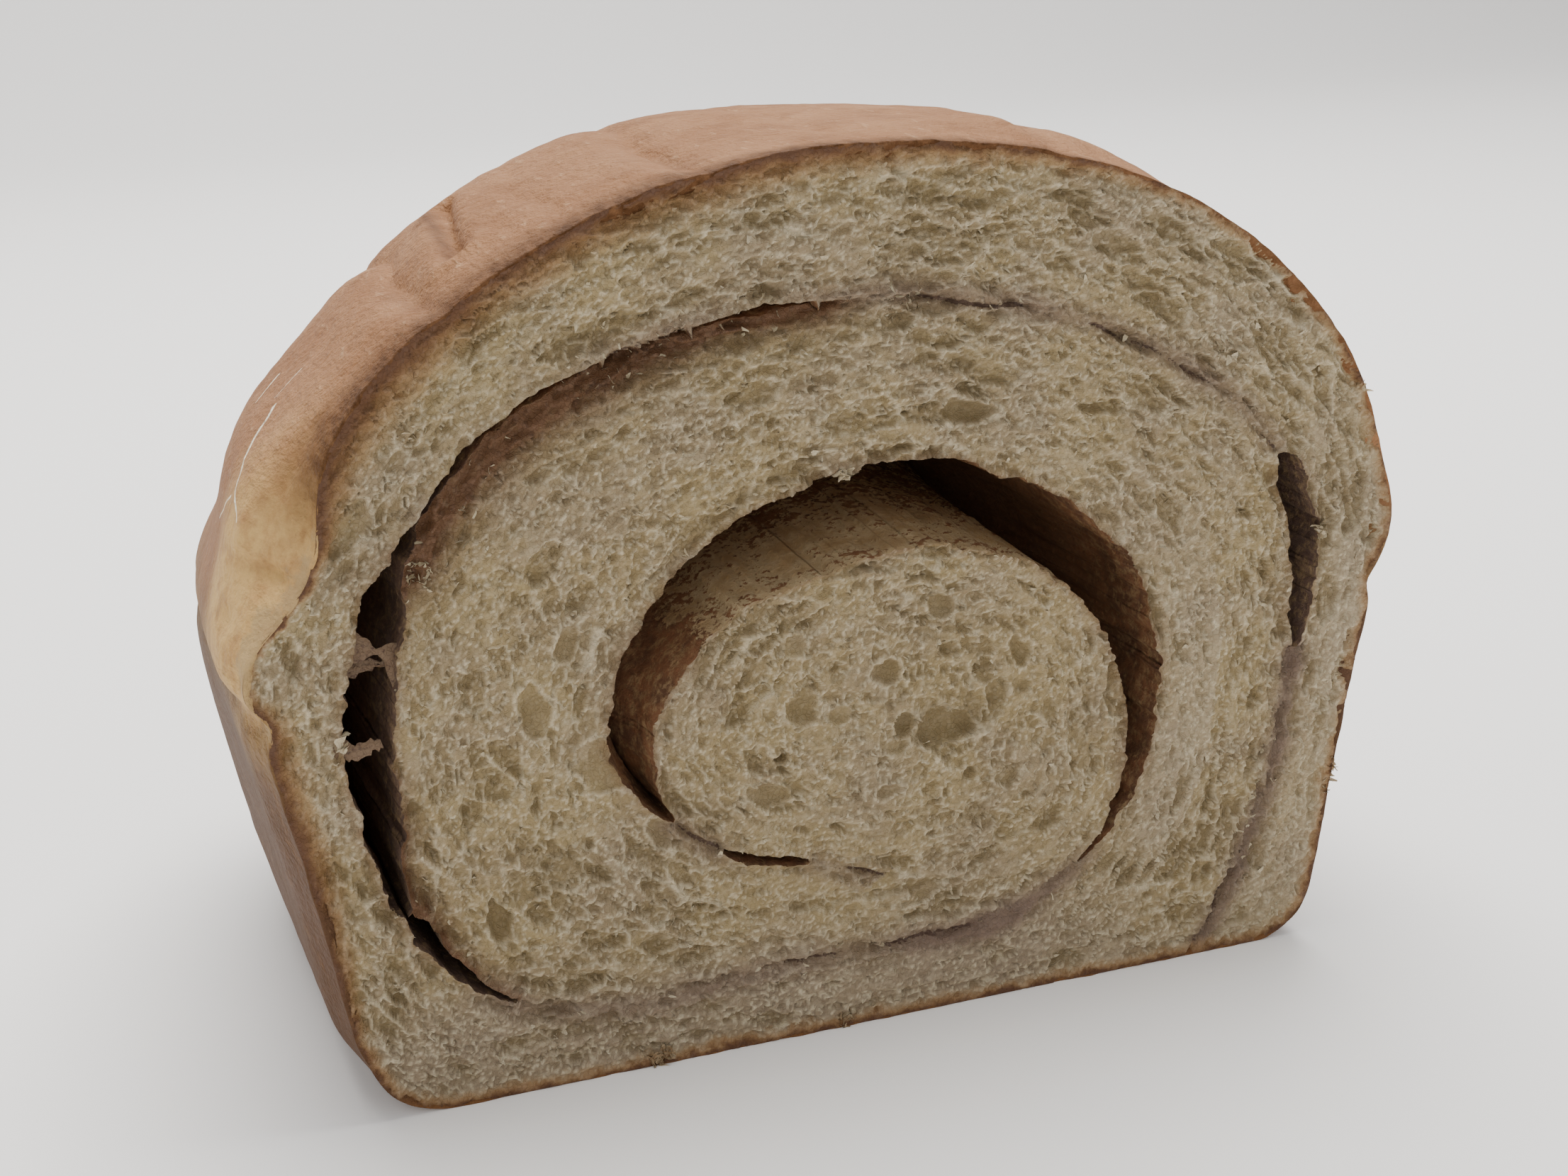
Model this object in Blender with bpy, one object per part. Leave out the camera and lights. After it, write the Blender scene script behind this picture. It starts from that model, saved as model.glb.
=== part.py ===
"""Cut half of a tin loaf with a cinnamon swirl, in metres, +Z up.

The cut face looks along -Y and the baked heel is at +Y. The origin is on the
table, under the middle of the loaf. The bread is one solid with the rolled
slot cut into it, and the cinnamon filling is the thin rolled sheet in that slot.
"""

import math
import random

import bmesh
import bpy
from mathutils import Matrix, Vector, noise

MM = 0.001

# Driving sizes of the loaf, in millimetres.
LOAF_LENGTH = 100.0
WIDEST_HALF = 66.0
WIDEST_HEIGHT = 49.0
LOAF_HEIGHT = 99.0
WALL_LEAN_DEG = 10.5
CORNER_RADIUS_LEFT = 12.0
CORNER_RADIUS_RIGHT = 8.0
DOME_SQUARENESS_LEFT = 1.84
DOME_SQUARENESS_RIGHT = 2.12
BASE_SIDES = 3
CORNER_SIDES = 4
WALL_SIDES = 6
DOME_SIDES = 20

# The heel: where the tin's end wall begins to curve in, and how square it is.
HEEL_CENTRE_HEIGHT = 40.0
WALL_CURVE_START = 45.0
WALL_SQUARENESS = 2.5
BASE_CURVE_START = 88.0
BASE_SQUARENESS = 2.0
DOME_WIDTH_SQUARENESS = 2.35
DOME_HEIGHT_SQUARENESS = 3.4
DOME_BLEND_START = 36.0
DOME_BLEND = 30.0
STATIONS = 12
STATION_EASE = 0.9
HEEL_TIP_SCALE = 0.12

# The roll of dough, seen on the cut face: the filling's distance from the heart
# of the roll every 30 degrees, clockwise from just under the heart.
HEART_X = 5.0
HEART_Z = 35.0
ROLL_START_DEG = 235.0
ROLL_STEP_DEG = 30.0
ROLL_RADII = (
    17.5, 24.5, 31.0, 29.2, 25.8, 25.2, 26.1, 28.6, 30.0, 30.2, 27.8,
    26.1, 31.8, 52.8, 58.3, 59.0, 51.3, 47.2, 49.0, 53.3, 48.9, 50.0,
)
ROLL_POINTS_PER_STEP = 3

# Filling thickness, the thick band of it beside the heart, and its clearance.
FILLING_THICKNESS = 1.2
THICK_FILLING = 2.4
THICK_FROM_DEG = 2.0
THICK_TO_DEG = -52.0
CLEARANCE = 0.3
FILLING_RECESS = 0.6

# Depths from the cut face: where the hollows end and where the roll ends.
HOLLOW_MIDDLE = 34.0
HOLLOW_MIDDLE_SHARE = 0.7
HOLLOW_TAPER = 46.0
HOLLOW_TIP = 54.0
HOLLOW_CLOSED = 58.0
ROLL_DEPTHS = (HOLLOW_MIDDLE, HOLLOW_TAPER, HOLLOW_CLOSED, 74.0)
ROLL_DEPTH = 86.0
CUT_OVERSHOOT = 3.0
SLIVER = 0.02 * MM
FLAT_TO_CUT = 0.999
STRAIGHT_DEPTH = 1.0

# Hollows between the layers: first and last heading on the roll, the widest
# gap, where along the hollow that is (bias), how blunt its ends are, and the
# number of short sides along it.
HOLLOWS = {
    "heart_slit": {"headings": (233.0, 207.0), "width": 1.4, "bias": 1.0, "blunt": 0.6, "sides": 3},
    "heart": {"headings": (195.0, -47.0), "width": 9.6, "bias": 0.75, "blunt": 1.0, "sides": 18},
    "left": {"headings": (-148.0, -207.0), "width": 5.6, "bias": 1.9, "blunt": 0.75, "sides": 8},
    "upper_left": {"headings": (-213.0, -235.0), "width": 1.4, "bias": 1.0, "blunt": 0.8, "sides": 3},
    "top": {"headings": (-244.0, -262.0), "width": 1.6, "bias": 1.0, "blunt": 0.8, "sides": 3},
    "right": {"headings": (-331.0, -358.0), "width": 3.8, "bias": 0.8, "blunt": 0.6, "sides": 4},
}

# Creases that run along the dome: where each one starts on the cut face, how
# far it drifts sideways by the heel, its depth and half its width. They are
# shallow at the cut and full from CREASE_FULL_BY on.
CREASES = (
    {"x": -42.0, "drift": -5.0, "depth": 2.0, "half_width": 3.0},
    {"x": -15.0, "drift": 4.0, "depth": 1.7, "half_width": 3.2},
    {"x": 25.0, "drift": 6.0, "depth": 1.2, "half_width": 2.8},
)
CREASE_AT_CUT = 0.25
CREASE_FULL_BY = 14.0

# The shoulder's roll at the cut, which gives way behind it to a higher swell
# on the left and to a broad one on the right of the dome.
SHOULDER_ROLL = {"height": 52.0, "spread": 5.0, "rise": 0.9, "lost_behind": 0.4}
SHOULDER_SWELL = {"height": 67.0, "spread": 6.5, "rise": 1.7}
DOME_SWELL = {"x": 30.0, "spread": 19.0, "from": 62.0, "over": 20.0, "rise": 2.3}
SWELLS_FULL_BY = 15.0

# The left shoulder, pressed in where the loaf was cut.
SHOULDER_PRESS = {"height": 62.5, "spread": 9.0, "depth": 6.2, "gone_by": 15.0}
LEFT_FOLD = {"height": 45.8, "spread": 2.4, "depth": 1.5}
RIGHT_FOLD = {"height": 44.0, "spread": 2.2, "depth": 1.2}
SWELL_SIZE = 26.0
SWELL_HEIGHT = 0.7

# The largest holes of the crumb on the cut face: (x, z, length, height, tilt).
LARGE_PORES = (
    (14.5, 32.6, 7.4, 4.0, -4.0),
    (8.8, 41.2, 4.2, 3.4, 20.0),
    (-3.6, 36.2, 4.6, 3.4, 40.0),
    (13.6, 69.8, 6.4, 2.4, -8.0),
    (-36.0, 43.5, 3.0, 4.2, 10.0),
    (-41.0, 20.0, 2.6, 4.4, 20.0),
    (19.6, 43.4, 2.4, 3.8, 30.0),
)
SMALL_PORES = 12
SMALL_PORE_SIZES = (1.6, 2.9)
PORE_STRETCH = 1.5
PORE_DEPTH = 0.75
PORE_SINK = 0.05
PORE_CLEAR_OF_ROLL = 4.0
PORE_CLEAR_OF_CRUST = 6.0
PORE_AREA_SHARE = 0.95
PORE_AREA_ROUNDNESS = 4
PORE_SEED = 7

BREAD_COLOUR = (0.62, 0.42, 0.22, 1.0)
BREAD_ROUGHNESS = 0.75
FILLING_COLOUR = (0.13, 0.045, 0.018, 1.0)
FILLING_ROUGHNESS = 0.6


def clear_scene():
    for obj in list(bpy.data.objects):
        bpy.data.objects.remove(obj)


def material(name, colour, roughness):
    made = bpy.data.materials.new(name)
    made.use_nodes = True
    shader = made.node_tree.nodes["Principled BSDF"]
    shader.inputs["Base Color"].default_value = colour
    shader.inputs["Roughness"].default_value = roughness
    shader.inputs["Metallic"].default_value = 0.0
    return made


def smooth_step(value):
    value = min(1.0, max(0.0, value))
    return value * value * (3 - 2 * value)


def spline(values, position):
    """Catmull-Rom through evenly spaced values; position counts in steps."""
    last = len(values) - 1
    position = min(float(last), max(0.0, position))
    i = min(last - 1, int(position))
    t = position - i
    a = values[max(0, i - 1)]
    b, c = values[i], values[i + 1]
    d = values[min(last, i + 2)]
    return b + 0.5 * t * (
        c - a + t * (2 * a - 5 * b + 4 * c - d + t * (3 * (b - c) + d - a))
    )


# Outline of the loaf

def half_outline(squareness, corner_radius):
    """Half of the cross-section as (x, z), from the middle of the base to the top."""
    lean = math.radians(WALL_LEAN_DEG)
    foot = WIDEST_HALF - WIDEST_HEIGHT * math.tan(lean)
    turn = math.pi / 2 - lean
    corner_x = foot - corner_radius * math.tan(turn / 2)
    corner_top = corner_radius * (1 - math.sin(lean))
    rise = LOAF_HEIGHT - WIDEST_HEIGHT
    power = 2 / squareness
    points = [(corner_x * i / BASE_SIDES, 0.0) for i in range(BASE_SIDES + 1)]
    for i in range(1, CORNER_SIDES + 1):
        angle = turn * i / CORNER_SIDES - math.pi / 2
        points.append((
            corner_x + corner_radius * math.cos(angle),
            corner_radius * (1 + math.sin(angle)),
        ))
    for i in range(1, WALL_SIDES + 1):
        z = corner_top + (WIDEST_HEIGHT - corner_top) * i / WALL_SIDES
        points.append((WIDEST_HALF - (WIDEST_HEIGHT - z) * math.tan(lean), z))
    for i in range(1, DOME_SIDES + 1):
        angle = math.pi / 2 * i / DOME_SIDES
        points.append((
            WIDEST_HALF * max(0.0, math.cos(angle)) ** power,
            WIDEST_HEIGHT + rise * math.sin(angle) ** power,
        ))
    return points


def loaf_outline():
    """The whole cross-section, once round from the middle of the base."""
    right = half_outline(DOME_SQUARENESS_RIGHT, CORNER_RADIUS_RIGHT)
    left = half_outline(DOME_SQUARENESS_LEFT, CORNER_RADIUS_LEFT)
    return right + [(-x, z) for x, z in reversed(left[1:-1])]


def curve_in(depth, start, squareness):
    """How far the section has shrunk at this depth: 1 at the cut, 0 at the very end."""
    share = max(0.0, depth - start) / (LOAF_LENGTH - start)
    return max(0.0, 1 - share**squareness) ** (1 / squareness)


def heel_scale(z, depth):
    """Share of the section's width and of its height that is left at this depth."""
    wall = curve_in(depth, WALL_CURVE_START, WALL_SQUARENESS)
    dome_width = curve_in(depth, 0.0, DOME_WIDTH_SQUARENESS)
    dome_height = curve_in(depth, 0.0, DOME_HEIGHT_SQUARENESS)
    blend = smooth_step((z - DOME_BLEND_START) / DOME_BLEND)
    width = wall + (dome_width - wall) * blend
    height = wall + (dome_height - wall) * blend
    if z < HEEL_CENTRE_HEIGHT:
        height = curve_in(depth, BASE_CURVE_START, BASE_SQUARENESS)
    return max(HEEL_TIP_SCALE, width), max(HEEL_TIP_SCALE, height)


def bell(distance, spread):
    return math.exp(-((distance / spread) ** 2))


def crust_relief(x, depth, z):
    """How far the crust stands out of the plain form at this point of the loaf."""
    if z < CORNER_RADIUS_RIGHT:
        return 0.0
    out = SWELL_HEIGHT * noise.noise(Vector((x, depth, z)) / SWELL_SIZE)
    behind = smooth_step(depth / SWELLS_FULL_BY)
    left = 1 - SHOULDER_ROLL["lost_behind"] * behind
    out += SHOULDER_ROLL["rise"] * bell(z - SHOULDER_ROLL["height"], SHOULDER_ROLL["spread"]) * left
    if x < 0:
        out += SHOULDER_SWELL["rise"] * bell(z - SHOULDER_SWELL["height"], SHOULDER_SWELL["spread"]) * behind
    on_dome = smooth_step((z - DOME_SWELL["from"]) / DOME_SWELL["over"])
    out += DOME_SWELL["rise"] * bell(x - DOME_SWELL["x"], DOME_SWELL["spread"]) * on_dome * behind
    fold = LEFT_FOLD if x < 0 else RIGHT_FOLD
    out -= fold["depth"] * bell(z - fold["height"], fold["spread"])
    if x < 0:
        pressed = 1 - smooth_step(depth / SHOULDER_PRESS["gone_by"])
        out -= SHOULDER_PRESS["depth"] * bell(z - SHOULDER_PRESS["height"], SHOULDER_PRESS["spread"]) * pressed
    if z > DOME_BLEND_START + DOME_BLEND:
        opened = CREASE_AT_CUT + (1 - CREASE_AT_CUT) * smooth_step(depth / CREASE_FULL_BY)
        for crease in CREASES:
            middle = crease["x"] + crease["drift"] * depth / LOAF_LENGTH
            out -= crease["depth"] * bell(x - middle, crease["half_width"]) * opened
    return out * smooth_step((z - CORNER_RADIUS_RIGHT) / CORNER_RADIUS_RIGHT)


def station_depths():
    """Distances from the cut face, closer together towards the heel."""
    depths = []
    for i in range(STATIONS):
        angle = math.pi / 2 * i / STATIONS
        depths.append(LOAF_LENGTH * math.sin(angle) ** STATION_EASE)
    return depths


def drawn_in(x, z, depth):
    """A point of the cut face's plane, moved to this depth and in with the heel."""
    width, height = heel_scale(z, depth)
    return Vector((x * width, depth - LOAF_LENGTH / 2, HEEL_CENTRE_HEIGHT + (z - HEEL_CENTRE_HEIGHT) * height))


def section_point(x, z, depth):
    out = Vector((x, 0, z - HEEL_CENTRE_HEIGHT)).normalized()
    placed = drawn_in(x, z, depth) + out * crust_relief(x, depth, z) * heel_scale(z, depth)[0]
    placed.z = max(0.0, placed.z)
    return placed * MM


def bread_body():
    """The loaf without its roll: rings of the outline, bridged from the cut to the heel."""
    outline = loaf_outline()
    mesh = bmesh.new()
    rings = []
    for depth in station_depths():
        ring = [mesh.verts.new(section_point(x, z, depth)) for x, z in outline]
        rings.append([mesh.edges.new((ring[i - 1], ring[i])) for i in range(len(ring))])
    end = [mesh.verts.new(drawn_in(x, z, LOAF_LENGTH) * MM) for x, z in outline]
    rings.append([mesh.edges.new((end[i - 1], end[i])) for i in range(len(end))])
    for first, second in zip(rings, rings[1:]):
        bmesh.ops.bridge_loops(mesh, edges=first + second)
    for ring in (rings[0], rings[-1]):
        bmesh.ops.contextual_create(mesh, geom=ring)
    bmesh.ops.recalc_face_normals(mesh, faces=mesh.faces)
    return mesh


# The roll

def roll_radius(heading):
    return spline(ROLL_RADII, (ROLL_START_DEG - heading) / ROLL_STEP_DEG)


def roll_point(heading, outwards=0.0, onwards=0.0):
    """A point of the roll on the cut face, as (x, z), moved square to the filling or along it."""
    def on_line(angle):
        a = math.radians(angle)
        r = roll_radius(angle)
        return Vector((HEART_X + r * math.cos(a), HEART_Z + r * math.sin(a)))

    along = (on_line(heading - 0.5) - on_line(heading + 0.5)).normalized()
    return on_line(heading) + Vector((-along.y, along.x)) * outwards + along * onwards


def gap_width(heading, hollow):
    first, last = hollow["headings"]
    share = (first - heading) / (first - last)
    if not 0 < share < 1:
        return 0.0
    return hollow["width"] * math.sin(math.pi * share ** hollow["bias"]) ** hollow["blunt"]


def filling_thickness(heading):
    share = (THICK_FROM_DEG - heading) / (THICK_FROM_DEG - THICK_TO_DEG)
    if not 0 < share < 1:
        return FILLING_THICKNESS
    return FILLING_THICKNESS + (THICK_FILLING - FILLING_THICKNESS) * math.sin(math.pi * share)


def hollow_headings(hollow):
    first, last = hollow["headings"]
    return [first + (last - first) * i / hollow["sides"] for i in range(hollow["sides"] + 1)]


def roll_headings():
    """Even steps along the roll, with each hollow's own steps where it opens."""
    hollows = [hollow_headings(hollow) for hollow in HOLLOWS.values()]
    step = ROLL_STEP_DEG / ROLL_POINTS_PER_STEP
    count = (len(ROLL_RADII) - 1) * ROLL_POINTS_PER_STEP
    even = [ROLL_START_DEG - step * i for i in range(count + 1)]
    plain = [h for h in even if all(not last - 1 < h < first + 1 for first, *_, last in hollows)]
    return sorted(plain + [h for headings in hollows for h in headings], reverse=True)


def roll_band(extra, share):
    """Closed loop of (x, z) round the filling and its hollows, extra wider all round."""
    inner, outer = [], []
    headings = roll_headings()
    for heading in headings:
        gap = max(gap_width(heading, hollow) for hollow in HOLLOWS.values())
        half = (filling_thickness(heading) + gap * share) / 2 + extra
        onwards = extra * ((heading == headings[-1]) - (heading == headings[0]))
        outer.append(roll_point(heading, half, onwards))
        inner.append(roll_point(heading, -half, onwards))
    return outer + inner[::-1]


def hollow_loop(hollow, share):
    """Closed loop of (x, z) round one hollow, with pointed ends."""
    headings = hollow_headings(hollow)
    outer = [roll_point(h, gap_width(h, hollow) * share / 2) for h in headings]
    inner = [roll_point(h, -gap_width(h, hollow) * share / 2) for h in headings[1:-1]]
    return outer + inner[::-1]


def hollow_share(depth):
    """How wide the hollows are at this depth, as a share of their width at the cut."""
    if depth <= STRAIGHT_DEPTH:
        return 1.0
    if depth <= HOLLOW_MIDDLE:
        return 1 - (1 - HOLLOW_MIDDLE_SHARE) * depth / HOLLOW_MIDDLE
    left = (HOLLOW_CLOSED - depth) / (HOLLOW_CLOSED - HOLLOW_MIDDLE)
    return HOLLOW_MIDDLE_SHARE * max(0.0, left)


def prism(loop_at, depths):
    """A closed mesh through the loop at each depth, straight near the cut and drawn in with the heel."""
    mesh = bmesh.new()
    rings = []
    for depth in depths:
        ring = []
        for x, z in loop_at(hollow_share(depth)):
            place = Vector((x, 0, z)) if depth <= STRAIGHT_DEPTH else drawn_in(x, z, depth)
            place.y = depth - LOAF_LENGTH / 2
            ring.append(mesh.verts.new(place * MM))
        rings.append(ring)
    for first, second, depth in zip(rings, rings[1:], depths[1:]):
        for i in range(len(first)):
            if depth <= STRAIGHT_DEPTH:
                mesh.faces.new((first[i - 1], first[i], second[i], second[i - 1]))
            else:
                mesh.faces.new((first[i - 1], first[i], second[i]))
                mesh.faces.new((first[i - 1], second[i], second[i - 1]))
    ends = [mesh.faces.new(rings[0]), mesh.faces.new(rings[-1])]
    bmesh.ops.recalc_face_normals(mesh, faces=mesh.faces)
    bmesh.ops.triangulate(mesh, faces=ends, ngon_method="EAR_CLIP")
    return mesh


def slot_cutter():
    """What the bread leaves free for the filling and the hollows."""
    depths = (-CUT_OVERSHOOT, STRAIGHT_DEPTH, *ROLL_DEPTHS, ROLL_DEPTH)
    return prism(lambda share: roll_band(CLEARANCE, share), depths)


def filling_body():
    depths = (FILLING_RECESS, STRAIGHT_DEPTH, *ROLL_DEPTHS, ROLL_DEPTH - CLEARANCE)
    return prism(lambda share: roll_band(0.0, share), depths)


def hollow_cutters():
    """All the hollows as one cutter, which narrow with depth and end inside the filling."""
    whole = bmesh.new()
    for hollow in HOLLOWS.values():
        depths = (-CUT_OVERSHOOT, STRAIGHT_DEPTH, HOLLOW_MIDDLE, HOLLOW_TAPER, HOLLOW_TIP)
        one = prism(lambda share: hollow_loop(hollow, share), depths)
        joined = bpy.data.meshes.new("hollow")
        one.to_mesh(joined)
        whole.from_mesh(joined)
        one.free()
        bpy.data.meshes.remove(joined)
    return whole


# The crumb

def clear_of_roll(x, z, distance):
    lines = (roll_point(heading) for heading in roll_headings())
    return all(math.dist((x, z), line) > distance for line in lines)


def inside_crust(x, z, distance):
    points = loaf_outline()
    return all(math.dist((x, z), point) > distance for point in points)


def small_pores():
    """Middling holes of the crumb, drawn by a seeded rule and stretched along the layers."""
    draw = random.Random(PORE_SEED)
    pores = []
    while len(pores) < SMALL_PORES:
        x = draw.uniform(-WIDEST_HALF, WIDEST_HALF)
        z = draw.uniform(PORE_CLEAR_OF_CRUST, LOAF_HEIGHT - PORE_CLEAR_OF_CRUST)
        reach = math.sqrt(max(0, 1 - (z / LOAF_HEIGHT) ** PORE_AREA_ROUNDNESS))
        on_face = abs(x) < WIDEST_HALF * PORE_AREA_SHARE * reach
        taken = pores + [pore[:2] for pore in LARGE_PORES]
        size = draw.uniform(*SMALL_PORE_SIZES)
        if not (on_face and inside_crust(x, z, PORE_CLEAR_OF_CRUST)):
            continue
        if not clear_of_roll(x, z, PORE_CLEAR_OF_ROLL + SMALL_PORE_SIZES[1]):
            continue
        if any(math.dist((x, z), other[:2]) < 2 * PORE_CLEAR_OF_ROLL for other in taken):
            continue
        tilt = math.degrees(math.atan2(z - HEART_Z, x - HEART_X)) + 90
        pores.append((x, z, size * PORE_STRETCH, size, tilt))
    return pores


def pore_cutters():
    """Flattened balls, sunk into the cut face to half their size."""
    mesh = bmesh.new()
    for x, z, length, height, tilt in list(LARGE_PORES) + small_pores():
        ball = bmesh.ops.create_icosphere(mesh, subdivisions=1, radius=0.5 * MM)["verts"]
        bmesh.ops.scale(mesh, vec=(length, height * 2 * PORE_DEPTH, height), verts=ball)
        bmesh.ops.rotate(
            mesh, cent=(0, 0, 0), verts=ball,
            matrix=Matrix.Rotation(-math.radians(tilt), 3, "Y"),
        )
        place = Vector((x, PORE_SINK - LOAF_LENGTH / 2, z)) * MM
        bmesh.ops.translate(mesh, vec=place, verts=ball)
    return mesh


def add_object(name, mesh, parent=None, finish=None, helper=False):
    data = bpy.data.meshes.new(name)
    mesh.to_mesh(data)
    mesh.free()
    obj = bpy.data.objects.new(name, data)
    bpy.context.scene.collection.objects.link(obj)
    obj.parent = parent
    if finish:
        data.materials.append(finish)
    if helper:
        obj.hide_render = True
        obj.display_type = "WIRE"
    return obj


def cut(obj, cutter):
    modifier = obj.modifiers.new(cutter.name, "BOOLEAN")
    modifier.operation = "DIFFERENCE"
    modifier.object = cutter
    modifier.solver = "EXACT"


def even_faces(obj):
    """Keep the cut shape as the object's own mesh, with its flat faces split into full triangles."""
    graph = bpy.context.evaluated_depsgraph_get()
    mesh = bmesh.new()
    mesh.from_object(obj, graph)
    bmesh.ops.dissolve_degenerate(mesh, dist=SLIVER, edges=mesh.edges)
    bmesh.ops.triangulate(mesh, faces=mesh.faces, ngon_method="BEAUTY")
    flat = [face for face in mesh.faces if abs(face.normal.y) > FLAT_TO_CUT]
    inner = [edge for edge in mesh.edges if all(abs(f.normal.y) > FLAT_TO_CUT for f in edge.link_faces)]
    bmesh.ops.beautify_fill(mesh, faces=flat, edges=inner)
    mesh.to_mesh(obj.data)
    mesh.free()
    obj.modifiers.clear()


def main():
    clear_scene()
    loaf = bpy.data.objects.new("loaf", None)
    bpy.context.scene.collection.objects.link(loaf)
    crumb_and_crust = material("bread", BREAD_COLOUR, BREAD_ROUGHNESS)
    cinnamon = material("cinnamon", FILLING_COLOUR, FILLING_ROUGHNESS)

    bread = add_object("bread", bread_body(), loaf, crumb_and_crust)
    filling = add_object("cinnamon_swirl", filling_body(), loaf, cinnamon)
    cut(bread, add_object("slot", slot_cutter(), loaf, helper=True))
    cut(bread, add_object("pores", pore_cutters(), loaf, helper=True))
    cut(filling, add_object("hollows", hollow_cutters(), loaf, helper=True))
    bpy.context.view_layer.update()
    even_faces(bread)
    even_faces(filling)


main()
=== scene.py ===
import math
import random

import bmesh
import bpy
import numpy as np
from mathutils import Matrix, Vector, kdtree


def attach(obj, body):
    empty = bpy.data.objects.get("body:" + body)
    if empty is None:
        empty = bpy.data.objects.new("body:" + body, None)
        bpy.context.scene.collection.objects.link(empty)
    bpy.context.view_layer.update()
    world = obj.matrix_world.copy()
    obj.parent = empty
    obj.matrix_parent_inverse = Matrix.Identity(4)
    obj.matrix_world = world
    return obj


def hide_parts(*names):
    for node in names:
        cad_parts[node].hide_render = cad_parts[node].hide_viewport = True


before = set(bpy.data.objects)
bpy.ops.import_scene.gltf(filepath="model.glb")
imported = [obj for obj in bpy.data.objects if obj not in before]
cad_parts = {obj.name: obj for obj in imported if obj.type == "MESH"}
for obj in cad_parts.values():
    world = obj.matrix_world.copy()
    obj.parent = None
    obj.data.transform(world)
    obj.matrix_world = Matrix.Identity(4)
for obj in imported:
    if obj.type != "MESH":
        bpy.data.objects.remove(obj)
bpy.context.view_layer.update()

# Cut half of a tin loaf with a cinnamon swirl. Sizes are in millimetres unless a name says otherwise.
# The cut face looks along -Y; x runs to the right on it and z upwards.

mm = 0.001

loaf = {
    "length": 100.0, "widestHalf": 66.0, "widestHeight": 49.0, "height": 99.0,
    "wallLean": 10.5, "cornerLeft": 12.0, "cornerRight": 8.0, "domeLeft": 1.84, "domeRight": 2.12,
    "heelCentre": 40.0, "wallCurveStart": 45.0, "wallSquareness": 2.5, "baseCurveStart": 88.0, "baseSquareness": 2.0,
    "domeWidthSquareness": 2.35, "domeHeightSquareness": 3.4, "blendStart": 36.0, "blend": 30.0,
    "swellSize": 26.0, "swell": 0.55, "pinch": 1.5, "pinchDepth": 10.0, "swellsFullBy": 15.0,
}
bulges = {  # where each broad form of the crust lies, how far it spreads and how far it stands out
    "roll": {"z": 52.0, "spread": 5.0, "rise": 0.9, "lostBehind": 0.4},
    "press": {"z": 62.5, "spread": 9.0, "rise": -6.2},
    "shoulder": {"z": 67.0, "spread": 6.5, "rise": 1.7},
    "dome": {"x": 30.0, "spread": 19.0, "from": 62.0, "to": 82.0, "rise": 2.3},
    "leftBreak": {"z": 45.8, "spread": 2.2, "rise": -1.4},
    "rightBreak": {"z": 44.0, "spread": 2.0, "rise": -1.1},
}
skin = {  # fine relief of the crust: size of the lumps and how far they stand out
    "wander": (14.0, 1.6), "grain": (4.5, 0.16), "hammered": (1.3, 0.07), "base": (3.0, 0.05),
}

# The roll: the filling's distance from the heart every 30 degrees, clockwise from under the heart.
roll = {
    "heart": (5.0, 35.0), "start": 235.0, "step": 30.0,
    "radii": (17.5, 24.5, 31.0, 29.2, 25.8, 25.2, 26.1, 28.6, 30.0, 30.2, 27.8,
              26.1, 31.8, 52.8, 58.3, 59.0, 51.3, 47.2, 49.0, 53.3, 48.9, 50.0),
    "hollowMiddle": 34.0, "middleShare": 0.7, "hollowEnd": 57.0,
}

# Hollows between the layers: first and last heading, widest gap, where it is and how blunt the ends are.
hollows = {
    "heartSlit": (233.0, 207.0, 1.5, 1.0, 0.6),
    "heart": (195.0, -47.0, 9.8, 0.75, 1.0),
    "left": (-148.0, -211.0, 6.4, 1.75, 0.7),
    "upperLeft": (-205.0, -236.0, 1.5, 1.0, 0.8),
    "top": (-243.0, -261.0, 1.3, 1.0, 0.8),
    "right": (-331.0, -358.0, 4.0, 0.8, 0.6),
}

# Stretches of the roll, as headings where each starts, is full, is full to and ends.
stretches = {
    "core": (-20.0, 40.0, 135.0, 165.0), "leftHollow": (-146.0, -152.0, -208.0, -216.0),
    "leftWall": (-140.0, -150.0, -185.0, -200.0), "leftAsh": (-100.0, -140.0, -212.0, -225.0),
    "cracks": (-196.0, -207.0, -258.0, -270.0), "crackStainAndShadow": (-199.0, -207.0, -258.0, -268.0),
    "crackLining": (-212.0, -218.0, -262.0, -270.0), "crackEnds": (-213.0, -218.0, -262.0, -270.0),
}


# Small maths on arrays

def smoothStep(low, high, value):
    t = np.clip((value - low) / (high - low), 0, 1)
    return t * t * (3 - 2 * t)


def bell(value, spread):
    return np.exp(-((value / spread) ** 2))


def within(value, start, full, fullTo, end):  # 0 outside start and end, 1 from full to fullTo
    return smoothStep(start, full, value) * smoothStep(end, fullTo, value)


def randomAt(cells, seed):  # one fixed random number from 0 to 1 for each whole cell
    mixed = np.full(len(cells), seed * 668265263, dtype=np.int64)
    for axis, prime in zip(range(cells.shape[1]), (374761393, 1274126177, 2246822519)):
        mixed = (mixed + cells[:, axis].astype(np.int64) * prime) & 0xFFFFFFFF
        mixed = ((mixed ^ (mixed >> 15)) * 2654435761) & 0xFFFFFFFF
    mixed = mixed ^ (mixed >> 13)
    return (mixed & 0xFFFFF) / 0xFFFFF


def softNoise(points, size, seed):  # smooth random field from -1 to 1 over 2 or 3 axes
    cells = points / size
    base = np.floor(cells)
    ease = cells - base
    ease = ease * ease * (3 - 2 * ease)
    total = np.zeros(len(points))
    axes = points.shape[1]
    for corner in range(2 ** axes):
        step = np.array([(corner >> axis) & 1 for axis in range(axes)])
        weight = np.prod(np.where(step == 1, ease, 1 - ease), axis=1)
        total += weight * randomAt(base + step, seed)
    return total * 2 - 1


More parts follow.
